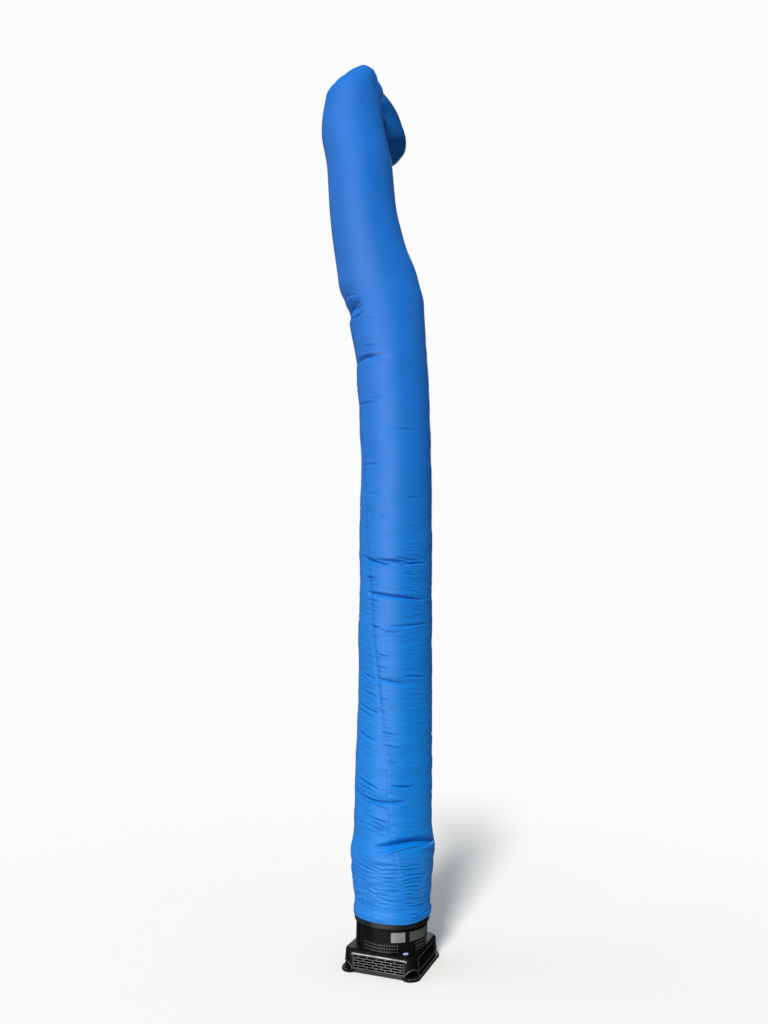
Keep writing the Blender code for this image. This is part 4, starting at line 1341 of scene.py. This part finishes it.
FILM_LIGHT, FILM_GREY, FILM_EDGE = (0.205, 0.210, 0.205), (0.070, 0.075, 0.074), (0.142, 0.148)
film = Finish("bare_label_film", (0.48, 0.485, 0.48), 0.34)
film.bump(film.noise(film.where(), 30.0, 4.0), 0.0004)
to_the_right = film.node("SeparateXYZ", {"Vector": film.where()}).outputs["X"]
grey_end = film.spread(to_the_right, *FILM_EDGE)
film.join(film.mix_colours(grey_end, FILM_LIGHT, FILM_GREY), "Base Color")
gem = grained(
    "pale_blue_button", (0.16, 0.30, 0.72), (0.62, 0.74, 0.95), 0.20, 60.0, 0.0002,
    Coat_Weight=0.5,
)
rubber = grained(
    "black_rubber", (0.012, 0.012, 0.012), (0.018, 0.018, 0.018), 0.8, 700.0, 0.0004
)
FINISHES = {
    "black_housing_plastic": black, "grey_grille_plastic": grey,
    "bare_label_film": film, "pale_blue_button": gem, "black_rubber": rubber,
}
for row in frame["record"]["subparts"]:
    finish = FINISHES.get(row["material_slot"])
    if finish:
        item = nodes[row["node"]]
        item.data.materials.clear()
        item.data.materials.append(finish.material)
print(len(FINISHES), "finishes for the blower")

# %% [markdown]
# ## Ways to shape the blower's pieces
#
# A moulded piece is a simple block that has been cut, and then had its edges
# rounded. Blender can do each of these as a modifier. Here they are applied
# at once, so the cutters can be thrown away and every piece ends as one mesh.

# %% Helpers for moulded pieces
SHARP_ABOVE = radians(40)


def spaced(start, stop, count):
    """That many equal steps from one number to another."""
    return [start + (stop - start) * i / count for i in range(count + 1)]


def shaped_mesh(build):
    """The mesh that build(bm) draws, with its faces turned outwards."""
    bm = bmesh.new()
    build(bm)
    bmesh.ops.recalc_face_normals(bm, faces=bm.faces)
    mesh = bpy.data.meshes.new("shape")
    bm.to_mesh(mesh)
    bm.free()
    return mesh


def block(bm, corner, opposite):
    """Adds a box between two opposite corners."""
    low = [min(pair) for pair in zip(corner, opposite)]
    high = [max(pair) for pair in zip(corner, opposite)]
    for v in bmesh.ops.create_cube(bm, size=1.0)["verts"]:
        v.co = [high[i] if v.co[i] > 0 else low[i] for i in range(3)]


def mesh_of(item):
    """The plain mesh of an item as it looks with its modifiers."""
    done = item.evaluated_get(bpy.context.evaluated_depsgraph_get())
    return bpy.data.meshes.new_from_object(done)


def settle(item):
    """Turns an item's modifiers into plain mesh."""
    mesh = mesh_of(item)
    item.modifiers.clear()
    item.data = mesh


def cut(item, build, operation="DIFFERENCE"):
    """Cuts what build(bm) draws out of an item, or joins it on."""
    cutter = add_object("cutter", shaped_mesh(build))
    step = item.modifiers.new("cut", "BOOLEAN")
    step.operation, step.object, step.solver = operation, cutter, "EXACT"
    settle(item)
    bpy.data.objects.remove(cutter, do_unlink=True)


def round_edges(item, width, segments=2, above=35):
    """Rounds the edges; the new faces take the item's second finish."""
    step = item.modifiers.new("edges", "BEVEL")
    step.width, step.segments = width, segments
    step.limit_method, step.angle_limit = "ANGLE", radians(above)
    step.material = 1
    settle(item)


def give_finishes(item, *finishes):
    item.data.materials.clear()
    for finish in finishes:
        item.data.materials.append(finish.material)


def finish_piece(item, finish, *replaced):
    """Shades and paints a piece, and ties it to the part."""
    item.data.shade_smooth()
    item.data.set_sharp_from_angle(angle=SHARP_ABOVE)
    if not item.data.materials:
        give_finishes(item, finish)
    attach(item, "root")
    if replaced:
        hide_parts(*replaced)


def add_piece(name, mesh, finish, *replaced):
    """A piece that needs no cutting, finished at once."""
    item = add_object(name, mesh)
    finish_piece(item, finish, *replaced)
    return item


def join_rings(bm, rings):
    """Faces between each ring of corners and the next."""
    for low, high in zip(rings, rings[1:]):
        for i in range(len(low)):
            j = (i + 1) % len(low)
            corners = dict.fromkeys((low[i], low[j], high[j], high[i]))
            bm.faces.new(list(corners))


def turned_mesh(profile, steps, loop=False):
    """A shape turned round Z from (radius, height) points.

    A loop joins its last point to its first, and makes a ring.
    """
    headings = spaced(0, 360, steps)[:-1]

    def build(bm):
        rings = []
        for radius, height in profile:
            if radius == 0:
                rings.append([bm.verts.new((0, 0, height))] * steps)
            else:
                places = [on_circle(radius, heading, height) for heading in headings]
                rings.append([bm.verts.new(place) for place in places])
        join_rings(bm, rings + rings[:1] if loop else rings)

    return shaped_mesh(build)


def rod_mesh(paths, radius, closed=False):
    """Thin round rods along one or more paths."""
    curve = bpy.data.curves.new("rods", "CURVE")
    curve.dimensions, curve.bevel_depth = "3D", radius
    curve.bevel_resolution, curve.use_fill_caps = 2, True
    for path in paths:
        line = curve.splines.new("POLY")
        line.points.add(len(path) - 1)
        for point, place in zip(line.points, path):
            point.co = (*place, 1.0)
        line.use_cyclic_u = closed
    item = add_object("rods", curve)
    mesh = mesh_of(item)
    bpy.data.objects.remove(item, do_unlink=True)
    return mesh


print("ways to cut, round and turn")

# %% [markdown]
# ## The base housing
#
# The housing is a low square box. Its sides lean in a little, so that it
# comes out of its mould, and its corners and top edge are generous rounds
# that catch the light. An arch is cut under each corner, over the foot, and
# each side has a shallow sunk panel. Its sizes are the CAD's.

# %% Build the housing
GAP = CLOTH_GAP
PAST = 0.05  # how far a cutter runs past the face that it cuts
HOUSE_HALF, HOUSE_DRAFT, HOUSE_TOP = 0.218, 1.016, 0.122
HOUSE_CORNER, HOUSE_EDGE = 0.052, 0.018
RUNNER_HEIGHT, RUNNER_OUT, RUNNER_IN, RUNNER_CORNER = 0.014, 0.2355, 0.142, 0.060
RUNNER_INNER_CORNER, RAMP_AT, RAMP_TURN = 0.020, 0.174, 22
PAD_WIDTH, PAD_LENGTH, PAD_SUNK = 0.240, 0.300, 0.004
GRILLE_WIDTH, GRILLE_LOW, GRILLE_HIGH = 0.316, 0.020, 0.105
GRILLE_OUT, GRILLE_THICK = HOUSE_HALF + 0.0045, 0.010
PANEL_WIDTH, PANEL_LOW, PANEL_HIGH, PANEL_DEPTH = 0.310, 0.036, 0.104, 0.006
NICHE_RADIUS, NICHE_HEIGHT, NICHE_REACH = 0.042, 0.012, 0.252
HEADINGS = (45, 135, 225, 315)
CORNER_SEGMENTS, RIM_SEGMENTS, NICHE_SEGMENTS, RUNNER_SEGMENTS = 14, 8, 56, 20
# widths of the rounded edges; their faces take the paler finish of rubbed wear and painted
# highlights
HOUSE_BEVEL, RUNNER_BEVEL, GRILLE_BEVEL = 0.0016, 0.0024, 0.0009


def upright_edges(bm):
    return [e for e in bm.edges if e.verts[0].co.xy == e.verts[1].co.xy]


def round_off(bm, edges, radius, segments):
    bmesh.ops.bevel(
        bm, geom=edges, offset=radius, segments=segments, profile=0.5, affect="EDGES"
    )


def house_block(bm):
    """A square box with drafted sides and rounded corners and top edges."""
    bmesh.ops.create_cube(bm, size=2.0)
    round_off(bm, upright_edges(bm), HOUSE_CORNER / HOUSE_HALF, CORNER_SEGMENTS)
    for v in bm.verts:
        high = v.co.z > 0
        half = HOUSE_HALF if high else HOUSE_HALF * HOUSE_DRAFT
        v.co.x *= half
        v.co.y *= half
        v.co.z = HOUSE_TOP if high else RUNNER_HEIGHT + GAP
    top = max(v.co.z for v in bm.verts)
    rim = [e for e in bm.edges if all(v.co.z == top for v in e.verts)]
    round_off(bm, rim, HOUSE_EDGE, RIM_SEGMENTS)


def house_pockets(bm):
    """Seats for the two grilles, and the two sunk side panels."""
    for side in (-1, 1):
        outside = side * (HOUSE_HALF + PAST)
        seat = side * (GRILLE_OUT - GRILLE_THICK - GAP)
        half = GRILLE_WIDTH / 2 + GAP
        block(bm, (-half, seat, GRILLE_LOW - GAP), (half, outside, GRILLE_HIGH + GAP))
        sunk = side * (HOUSE_HALF - PANEL_DEPTH)
        half = PANEL_WIDTH / 2
        block(bm, (sunk, -half, PANEL_LOW), (outside, half, PANEL_HIGH))


def house_niches(bm):
    """The four arches under the corners."""
    for heading in HEADINGS:
        lying = Matrix.Rotation(radians(heading), 4, "Z") @ Matrix.Rotation(pi / 2, 4, "X")
        place = on_circle(NICHE_REACH + PAST, heading, NICHE_HEIGHT)
        bmesh.ops.create_cone(
            bm, cap_ends=True, segments=NICHE_SEGMENTS, radius1=NICHE_RADIUS,
            radius2=NICHE_RADIUS, depth=2 * PAST, matrix=Matrix.Translation(place) @ lying,
        )


def underside_pad(bm):
    block(
        bm, (-PAD_WIDTH / 2, -PAD_LENGTH / 2, 0.0),
        (PAD_WIDTH / 2, PAD_LENGTH / 2, RUNNER_HEIGHT + PAD_SUNK),
    )


housing = add_object("housing_shell", shaped_mesh(house_block))
cut(housing, underside_pad, "UNION")
cut(housing, house_pockets)
cut(housing, house_niches)
give_finishes(housing, black, black_wear_and_glint)
round_edges(housing, HOUSE_BEVEL)
finish_piece(housing, black, "base_housing")
print(len(housing.data.polygons), "faces on the housing")

# %% [markdown]
# Raised lips stiffen the thin edges: one round each arch, and one round each
# sunk panel. They are only a few millimetres thick, but each draws a fine
# bright line, because they take the paler edge finish: rubbed wear and a
# painted highlight. Their paths run on the leaning sides, so each point's
# reach is worked out from its height.

# %% Add the lips
NICHE_LIP, PANEL_LIP, PANEL_CORNER = 0.0026, 0.0017, 0.006
ARCH_STARTS, ARCH_STOPS, ARCH_STEPS, CORNER_STEPS = 4, 176, 40, 6


def house_half(height):
    """Half the housing's width at a height, on its leaning sides."""
    down = (HOUSE_TOP - height) / (HOUSE_TOP - RUNNER_HEIGHT - GAP)
    return HOUSE_HALF * (1 + (HOUSE_DRAFT - 1) * down)


def corner_place(heading, across, height):
    """A place on the rounded corner, seen straight along its diagonal."""
    scale = house_half(height) / HOUSE_HALF
    half, corner = HOUSE_HALF * scale, HOUSE_CORNER * scale
    if abs(across) < corner * sqrt(0.5):
        reach = (half - corner) * sqrt(2) + sqrt(corner**2 - across**2)
    else:
        reach = half * sqrt(2) - abs(across)
    return on_circle(reach, heading, height) + on_circle(across, heading + 90)


def rounded_rectangle(half_width, low, high, corner, place):
    """A closed path of places round a rectangle with rounded corners."""
    path = []
    corners = [(1, high, 0), (-1, high, 90), (-1, low, 180), (1, low, 270)]
    for side, level, start in corners:
        middle_x = side * (half_width - corner)
        middle_z = level - corner if level == high else level + corner
        for turn in map(radians, spaced(start, start + 90, CORNER_STEPS)):
            path.append(place(middle_x + corner * cos(turn), middle_z + corner * sin(turn)))
    return path


arches, frames = [], []
around_arch = NICHE_RADIUS + NICHE_LIP
for heading in HEADINGS:
    turns = map(radians, spaced(ARCH_STARTS, ARCH_STOPS, ARCH_STEPS))
    sides = [(around_arch * cos(turn), around_arch * sin(turn)) for turn in turns]
    arches.append([corner_place(heading, x, NICHE_HEIGHT + z) for x, z in sides])
add_piece("arch_lips", rod_mesh(arches, NICHE_LIP), black_wear_and_glint)

for side in (-1, 1):
    frames.append(
        rounded_rectangle(
            PANEL_WIDTH / 2, PANEL_LOW, PANEL_HIGH, PANEL_CORNER,
            lambda y, z, side=side: Vector((side * house_half(z), y, z)),
        )
    )
add_piece("panel_lips", rod_mesh(frames, PANEL_LIP, closed=True), black_wear_and_glint)
print(len(arches), "arch lips,", len(frames), "panel lips")

# %% [markdown]
# ## The runners
#
# Two flat runners carry the housing, and their rounded ends stick out at the
# corners as feet. A low ridge runs along each outer edge.


# %% Build the runners
def runner_block(bm):
    block(bm, (RUNNER_IN, -RUNNER_OUT, 0.0), (RUNNER_OUT, RUNNER_OUT, RUNNER_HEIGHT))
    middle = (RUNNER_IN + RUNNER_OUT) / 2
    for outside, corner in ((True, RUNNER_CORNER), (False, RUNNER_INNER_CORNER)):
        ends = [
            e for e in upright_edges(bm)
            if abs(abs(e.verts[0].co.y) - RUNNER_OUT) < 1e-6
            and (e.verts[0].co.x > middle) == outside
        ]
        round_off(bm, ends, corner, RUNNER_SEGMENTS)
    bmesh.ops.bisect_plane(
        bm, geom=bm.verts[:] + bm.edges[:] + bm.faces[:], plane_co=(RAMP_AT, 0, 0),
        plane_no=(1, 0, 0), dist=1e-5,
    )
    for v in bm.verts:
        if v.co.z < 1e-6 and v.co.x < RAMP_AT:
            v.co.z = (RAMP_AT - v.co.x) * tan(radians(RAMP_TURN))


RIDGE, RIDGE_INSET, RIDGE_STEPS, RIDGE_TURN = 0.0020, 0.0034, 16, 80
for side, word in ((1, "right"), (-1, "left")):
    runner = add_object(f"{word}_foot_rail", shaped_mesh(runner_block))
    runner.data.transform(Matrix.Rotation(0 if side > 0 else pi, 4, "Z"))
    give_finishes(runner, black, black_wear_and_glint)
    round_edges(runner, RUNNER_BEVEL)
    finish_piece(runner, black, f"{word}_runner")

ridges = []
middle, radius = RUNNER_OUT - RUNNER_CORNER, RUNNER_CORNER - RIDGE_INSET
for side in (1, -1):
    path = []
    for end, start in ((-1, -RIDGE_TURN), (1, 0)):
        for turn in map(radians, spaced(start, start + RIDGE_TURN, RIDGE_STEPS)):
            x, y = middle + radius * cos(turn), end * middle + radius * sin(turn)
            path.append((side * x, side * y, RUNNER_HEIGHT))
    ridges.append(path)
add_piece("runner_ridges", rod_mesh(ridges, RIDGE), black_wear_and_glint)
print("two runners, with", len(ridges), "ridges")

# %% [markdown]
# ## The grilles
#
# The front and back grilles stand proud of the housing, and the lips along
# their tops catch the most light: they are painted pale, a painted highlight
# on a rubbed edge. Air goes in through five rows of short slots, laid like
# bricks, with thin ribs between them, whose paler finish is rubbed wear and
# painted glints. Below them the skirt reaches nearly to the floor, and its
# fine slanted ribs hide scratches.

# %% Build the grilles
SLOT_ROWS, SLOT_PITCH, TOP_SLOT = 5, 0.0136, 0.0865
SLOT_HEIGHT, SLOT_DEPTH = 0.0098, 0.007
SLOT_LENGTH, SLOT_WEB, SLOT_MARGIN = 0.0480, 0.0070, 0.008
SLOT_SHIFT, SHORTEST_SLOT = (0.0, 0.021), 0.008
SLOTS_REACH = GRILLE_WIDTH / 2 - SLOT_MARGIN
WEB_RIB, ROW_RIB, RIB_STANDS, ROW_PAST = 0.0018, 0.0014, 0.0008, 0.002
LIP_ROUND, LIP_STEPS, LIP_BEHIND, LIP_BELOW = 0.0075, 8, 0.0022, 0.0050
LIP_LEFT, LIP_RIGHT, LIP_END, LIP_THICK = -0.160, 0.166, 0.006, 0.0037
SKIRT_LOW, SKIRT_LEFT, SKIRT_RIGHT, SKIRT_FOOT = 0.0040, 0.006, 0.010, 0.0008
RIB_PITCH, RIB_WIDTH, RIB_PROUD, RIB_LEAN = 0.0052, 0.0020, 0.0010, 0.004
RIB_ROOT = 0.001  # how far a rib goes into the face that it stands on
UNLIT_BEHIND = 0.0015


def grille_profile():
    """The grille's upright section, as (reach, height) points."""
    inner = GRILLE_OUT - GRILLE_THICK
    points = [(inner, SKIRT_LOW), (GRILLE_OUT, SKIRT_LOW)]
    for turn in spaced(0, pi / 2, LIP_STEPS):
        back, down = LIP_ROUND * (1 - cos(turn)), LIP_ROUND * (1 - sin(turn))
        points.append((GRILLE_OUT - back, GRILLE_HIGH - down))
    return points + [(inner, GRILLE_HIGH)]


def grille_block(bm):
    ends = [
        [bm.verts.new((x, -reach, height)) for reach, height in grille_profile()]
        for x in (-GRILLE_WIDTH / 2, GRILLE_WIDTH / 2)
    ]
    bm.faces.new(ends[0])
    bm.faces.new(ends[1])
    join_rings(bm, ends)


def slot_places():
    """Each slot's left end, right end and height; odd rows are shifted."""
    places = []
    for row in range(SLOT_ROWS):
        level = TOP_SLOT - SLOT_PITCH * row
        right = SLOTS_REACH - SLOT_SHIFT[row % 2]
        first = right + SLOT_WEB
        while right > -SLOTS_REACH + SHORTEST_SLOT:
            left = max(right - SLOT_LENGTH, -SLOTS_REACH)
            places.append((left, min(right, SLOTS_REACH), level))
            right -= SLOT_LENGTH + SLOT_WEB
        if SLOTS_REACH - first > SHORTEST_SLOT:
            places.append((first, SLOTS_REACH, level))
    return places


def grille_slots(bm):
    for low, high, level in slot_places():
        block(
            bm, (low, -(GRILLE_OUT - SLOT_DEPTH), level - SLOT_HEIGHT / 2),
            (high, -(GRILLE_OUT + PAST), level + SLOT_HEIGHT / 2),
        )


def rib(bm, left, right, low, high, stands):
    """A flat rib that stands out from the grille's face."""
    block(bm, (left, -GRILLE_OUT + RIB_ROOT, low), (right, -GRILLE_OUT - stands, high))


def slot_ribs(bm):
    """Thin ribs that stand out between the rows, and on each web."""
    end = SLOTS_REACH + ROW_PAST
    for row in range(1, SLOT_ROWS + 1):
        level = TOP_SLOT - SLOT_PITCH * (row - 0.5)
        rib(bm, -end, end, level - ROW_RIB / 2, level + ROW_RIB / 2, RIB_STANDS)
    places = slot_places()
    for low, high, level in places:
        for left, right, other in places:
            if other == level and abs(left - high - SLOT_WEB) < 1e-6:
                middle, half, tall = high + SLOT_WEB / 2, WEB_RIB / 2, SLOT_PITCH / 2
                ends = (level - tall, level + tall)
                rib(bm, middle - half, middle + half, *ends, RIB_STANDS * 0.9)


def finish_grille_faces(mesh):
    """The slots' insides are unlit."""
    for face in mesh.polygons:
        depth = GRILLE_OUT + face.center.y
        if depth > UNLIT_BEHIND and face.center.z < GRILLE_HIGH - LIP_ROUND:
            face.material_index = 2


def lip_path():
    """The lip runs along the grille's top, and both its ends turn down."""
    reach, level = -(GRILLE_OUT - LIP_BEHIND), GRILLE_HIGH - LIP_BELOW
    turns = [radians(turn) for turn in spaced(0, 90, 9)]
    bends = [(LIP_END * (1 - sin(turn)), LIP_END * (1 - cos(turn))) for turn in turns]
    left = [(LIP_LEFT + x, reach, level - z) for x, z in reversed(bends)]
    return left + [(LIP_RIGHT - x, reach, level - z) for x, z in bends]


def skirt_ribs(bm):
    low = SKIRT_LOW + SKIRT_FOOT
    high = TOP_SLOT - SLOT_PITCH * (SLOT_ROWS - 0.5) - ROW_RIB
    x = -GRILLE_WIDTH / 2 + SKIRT_LEFT
    while x < GRILLE_WIDTH / 2 - SKIRT_RIGHT:
        before = set(bm.verts)
        rib(bm, x, x + RIB_WIDTH, low, high, RIB_PROUD)
        for v in set(bm.verts) - before:
            if v.co.z > (low + high) / 2:
                v.co.x += RIB_LEAN
        x += RIB_PITCH


for side, turn in (("front", 0), ("back", pi)):
    half_turn = Matrix.Rotation(turn, 4, "Z")
    grille = add_object(f"{side}_brick_grille", shaped_mesh(grille_block))
    cut(grille, grille_slots)
    give_finishes(grille, grey, grey_wear_and_glint, deep)
    round_edges(grille, GRILLE_BEVEL, segments=1, above=50)
    finish_grille_faces(grille.data)
    grille.data.transform(half_turn)
    finish_piece(grille, grey, f"{side}_grille")
    for name, mesh, finish in (
        ("skirt_ribs", shaped_mesh(skirt_ribs), grey),
        ("grille_lip", rod_mesh([lip_path()], LIP_THICK), lip_highlight),
        ("slot_ribs", shaped_mesh(slot_ribs), grey_wear_and_glint),
    ):
        mesh.transform(half_turn)
        add_piece(f"{side}_{name}", mesh, finish)
    print(side, "grille:", len(grille.data.polygons), "faces")

# %% [markdown]
# ## The fan drum
#
# The round drum holds the fan. Each of its four faces has three louvre slots
# low down. The wall is one grid of points, whose radius steps inwards inside
# a slot: rows and columns that lie on a slot's edges are there twice, once
# outside and once inside, and points that fall together are merged.

# %% Build the drum
DRUM_RADIUS, DRUM_TOP = 0.210, 0.2457
LOUVRE_ROWS, LOUVRE_LOW, LOUVRE_PITCH = 3, 0.128, 0.017
LOUVRE_SLOT, LOUVRE_DEPTH, LOUVRE_HALF = 0.008, 0.008, 30.5
FACES = (0, 90, 180, 270)
DRUM_STEP = 1.9  # degrees between columns
DRUM_EDGE, UNLIT_INSIDE, FOOT_CLEAR, RIM_CLEAR = 0.0015, 0.002, 0.002, 0.003


def drum_levels():
    """Heights up the drum, and whether each is inside a slot."""
    levels = [(HOUSE_TOP + GAP, False)]
    for row in range(LOUVRE_ROWS):
        low = LOUVRE_LOW + LOUVRE_PITCH * row
        high = low + LOUVRE_SLOT
        levels += [(low, False), (low, True), (high, True), (high, False)]
    return levels + [(DRUM_TOP - DRUM_EDGE, False), (DRUM_TOP, False)]


def drum_headings():
    """Headings round the drum, and whether each is inside a slot."""
    headings = []
    for face in FACES:
        start, stop = face - LOUVRE_HALF, face + LOUVRE_HALF
        steps = int(round((stop - start) / DRUM_STEP))
        inside = [(heading, True) for heading in spaced(start, stop, steps)]
        steps = int(round((start + 90 - stop) / DRUM_STEP))
        between = [(heading, False) for heading in spaced(stop, start + 90, steps)]
        headings += [(start, False), *inside, *between[:-1]]
    return headings


def drum_wall(bm):
    rings = []
    for height, slot_row in drum_levels():
        edge = DRUM_EDGE if height == DRUM_TOP else 0
        ring = []
        for heading, slot_face in drum_headings():
            radius = DRUM_RADIUS - (LOUVRE_DEPTH if slot_row and slot_face else 0)
            ring.append(bm.verts.new(on_circle(radius - edge, heading, height)))
        rings.append(ring)
    join_rings(bm, rings)
    bm.faces.new(rings[0])
    bm.faces.new(rings[-1])
    bmesh.ops.remove_doubles(bm, verts=bm.verts, dist=1e-6)
    bmesh.ops.dissolve_degenerate(bm, edges=bm.edges, dist=1e-6)


drum = add_object("drum_shell", shaped_mesh(drum_wall))
give_finishes(drum, black, deep)
for face in drum.data.polygons:
    on_wall = HOUSE_TOP + FOOT_CLEAR < face.center.z < DRUM_TOP - RIM_CLEAR
    if on_wall and Vector(face.center).xy.length < DRUM_RADIUS - UNLIT_INSIDE:
        face.material_index = 1
finish_piece(drum, black, "fan_drum")
print(len(drum.data.polygons), "faces on the drum")

# %% [markdown]
# Each louvre has a fine lip along its lower edge, which catches the light,
# and upright fins stand inside it to keep fingers out. Lips and fins take
# the paler edge finishes: rubbed wear, and painted glints.

# %% Add the louvres' lips and fins
LOUVRE_LIP, LIP_PIECES = 0.0015, 32
FIN_STEP, FIN_THICK, FIN_PAST = 4.0, 0.0018, 0.0006
FIN_BACK, FIN_FRONT = 0.001, 0.0012  # into the slot's back, short of the wall's face
lips, fins = [], []
for face in FACES:
    for row in range(LOUVRE_ROWS):
        low = LOUVRE_LOW + LOUVRE_PITCH * row
        start, stop, level = face - LOUVRE_HALF, face + LOUVRE_HALF, low - LOUVRE_LIP / 2
        headings = spaced(start, stop, LIP_PIECES)
        lips.append([on_circle(DRUM_RADIUS, heading, level) for heading in headings])
        heading = start + FIN_STEP * 0.8
        while heading < stop - 1:
            fins.append((heading, low, low + LOUVRE_SLOT))
            heading += FIN_STEP


def louvre_fins(bm):
    for heading, low, high in fins:
        before = set(bm.verts)
        block(
            bm, (-FIN_THICK / 2, -DRUM_RADIUS + LOUVRE_DEPTH + FIN_BACK, low - FIN_PAST),
            (FIN_THICK / 2, -DRUM_RADIUS + FIN_FRONT, high + FIN_PAST),
        )
        turn = Matrix.Rotation(radians(heading), 4, "Z")
        bmesh.ops.transform(bm, matrix=turn, verts=list(set(bm.verts) - before))


add_piece("louvre_lips", rod_mesh(lips, LOUVRE_LIP), black_wear_and_glint)
add_piece("louvre_fins", shaped_mesh(louvre_fins), grey_wear_and_glint)
print(len(lips), "louvre lips and", len(fins), "fins")

# %% [markdown]
# ## The outlet collar
#
# The collar is a turned ring, wider than the drum, and its neck goes up
# inside the sleeve. A ring turned from a closed outline has a real wall, with
# no hidden lid.

# %% Build the collar and the button
COLLAR_STEPS, DOME_STEPS = 192, 48
COLLAR = [
    (0.2155, 0.2460), (0.2200, 0.2505), (0.2213, 0.2522), (0.2215, 0.2545),
    (0.2215, 0.2838), (0.2211, 0.2850), (0.2193, 0.2872), (0.2193, 0.3460),
    (0.2175, 0.3503), (0.2133, 0.3520), (0.2113, 0.3520), (0.2103, 0.3510),
    (0.2103, 0.2470), (0.2113, 0.2460),
]
ring = turned_mesh(COLLAR, COLLAR_STEPS, loop=True)
# the collar's paler black is painted sheen
add_piece("collar_ring", ring, collar_black_sheen, "outlet_collar")

BUTTON_LENGTH, BUTTON_WIDTH, BUTTON_HEIGHT = 0.031, 0.018, 0.007
BUTTON_AT, BUTTON_REACH = 40.0, 0.233
DOME = [
    (0.0, 0.0), (0.50, 0.0), (0.50, 0.62), (0.485, 0.76), (0.44, 0.87),
    (0.36, 0.95), (0.22, 0.99), (0.0, 1.0),
]
profile = [(radius, height * BUTTON_HEIGHT) for radius, height in DOME]
dome = turned_mesh(profile, DOME_STEPS)
dome.transform(
    Matrix.Translation(on_circle(BUTTON_REACH, BUTTON_AT, HOUSE_TOP + GAP))
    @ Matrix.Rotation(radians(BUTTON_AT), 4, "Z")
    @ Matrix.Diagonal((BUTTON_LENGTH, BUTTON_WIDTH, 1, 1))
)
add_piece("button_dome", dome, gem, "oval_button")
print("the collar and the button")
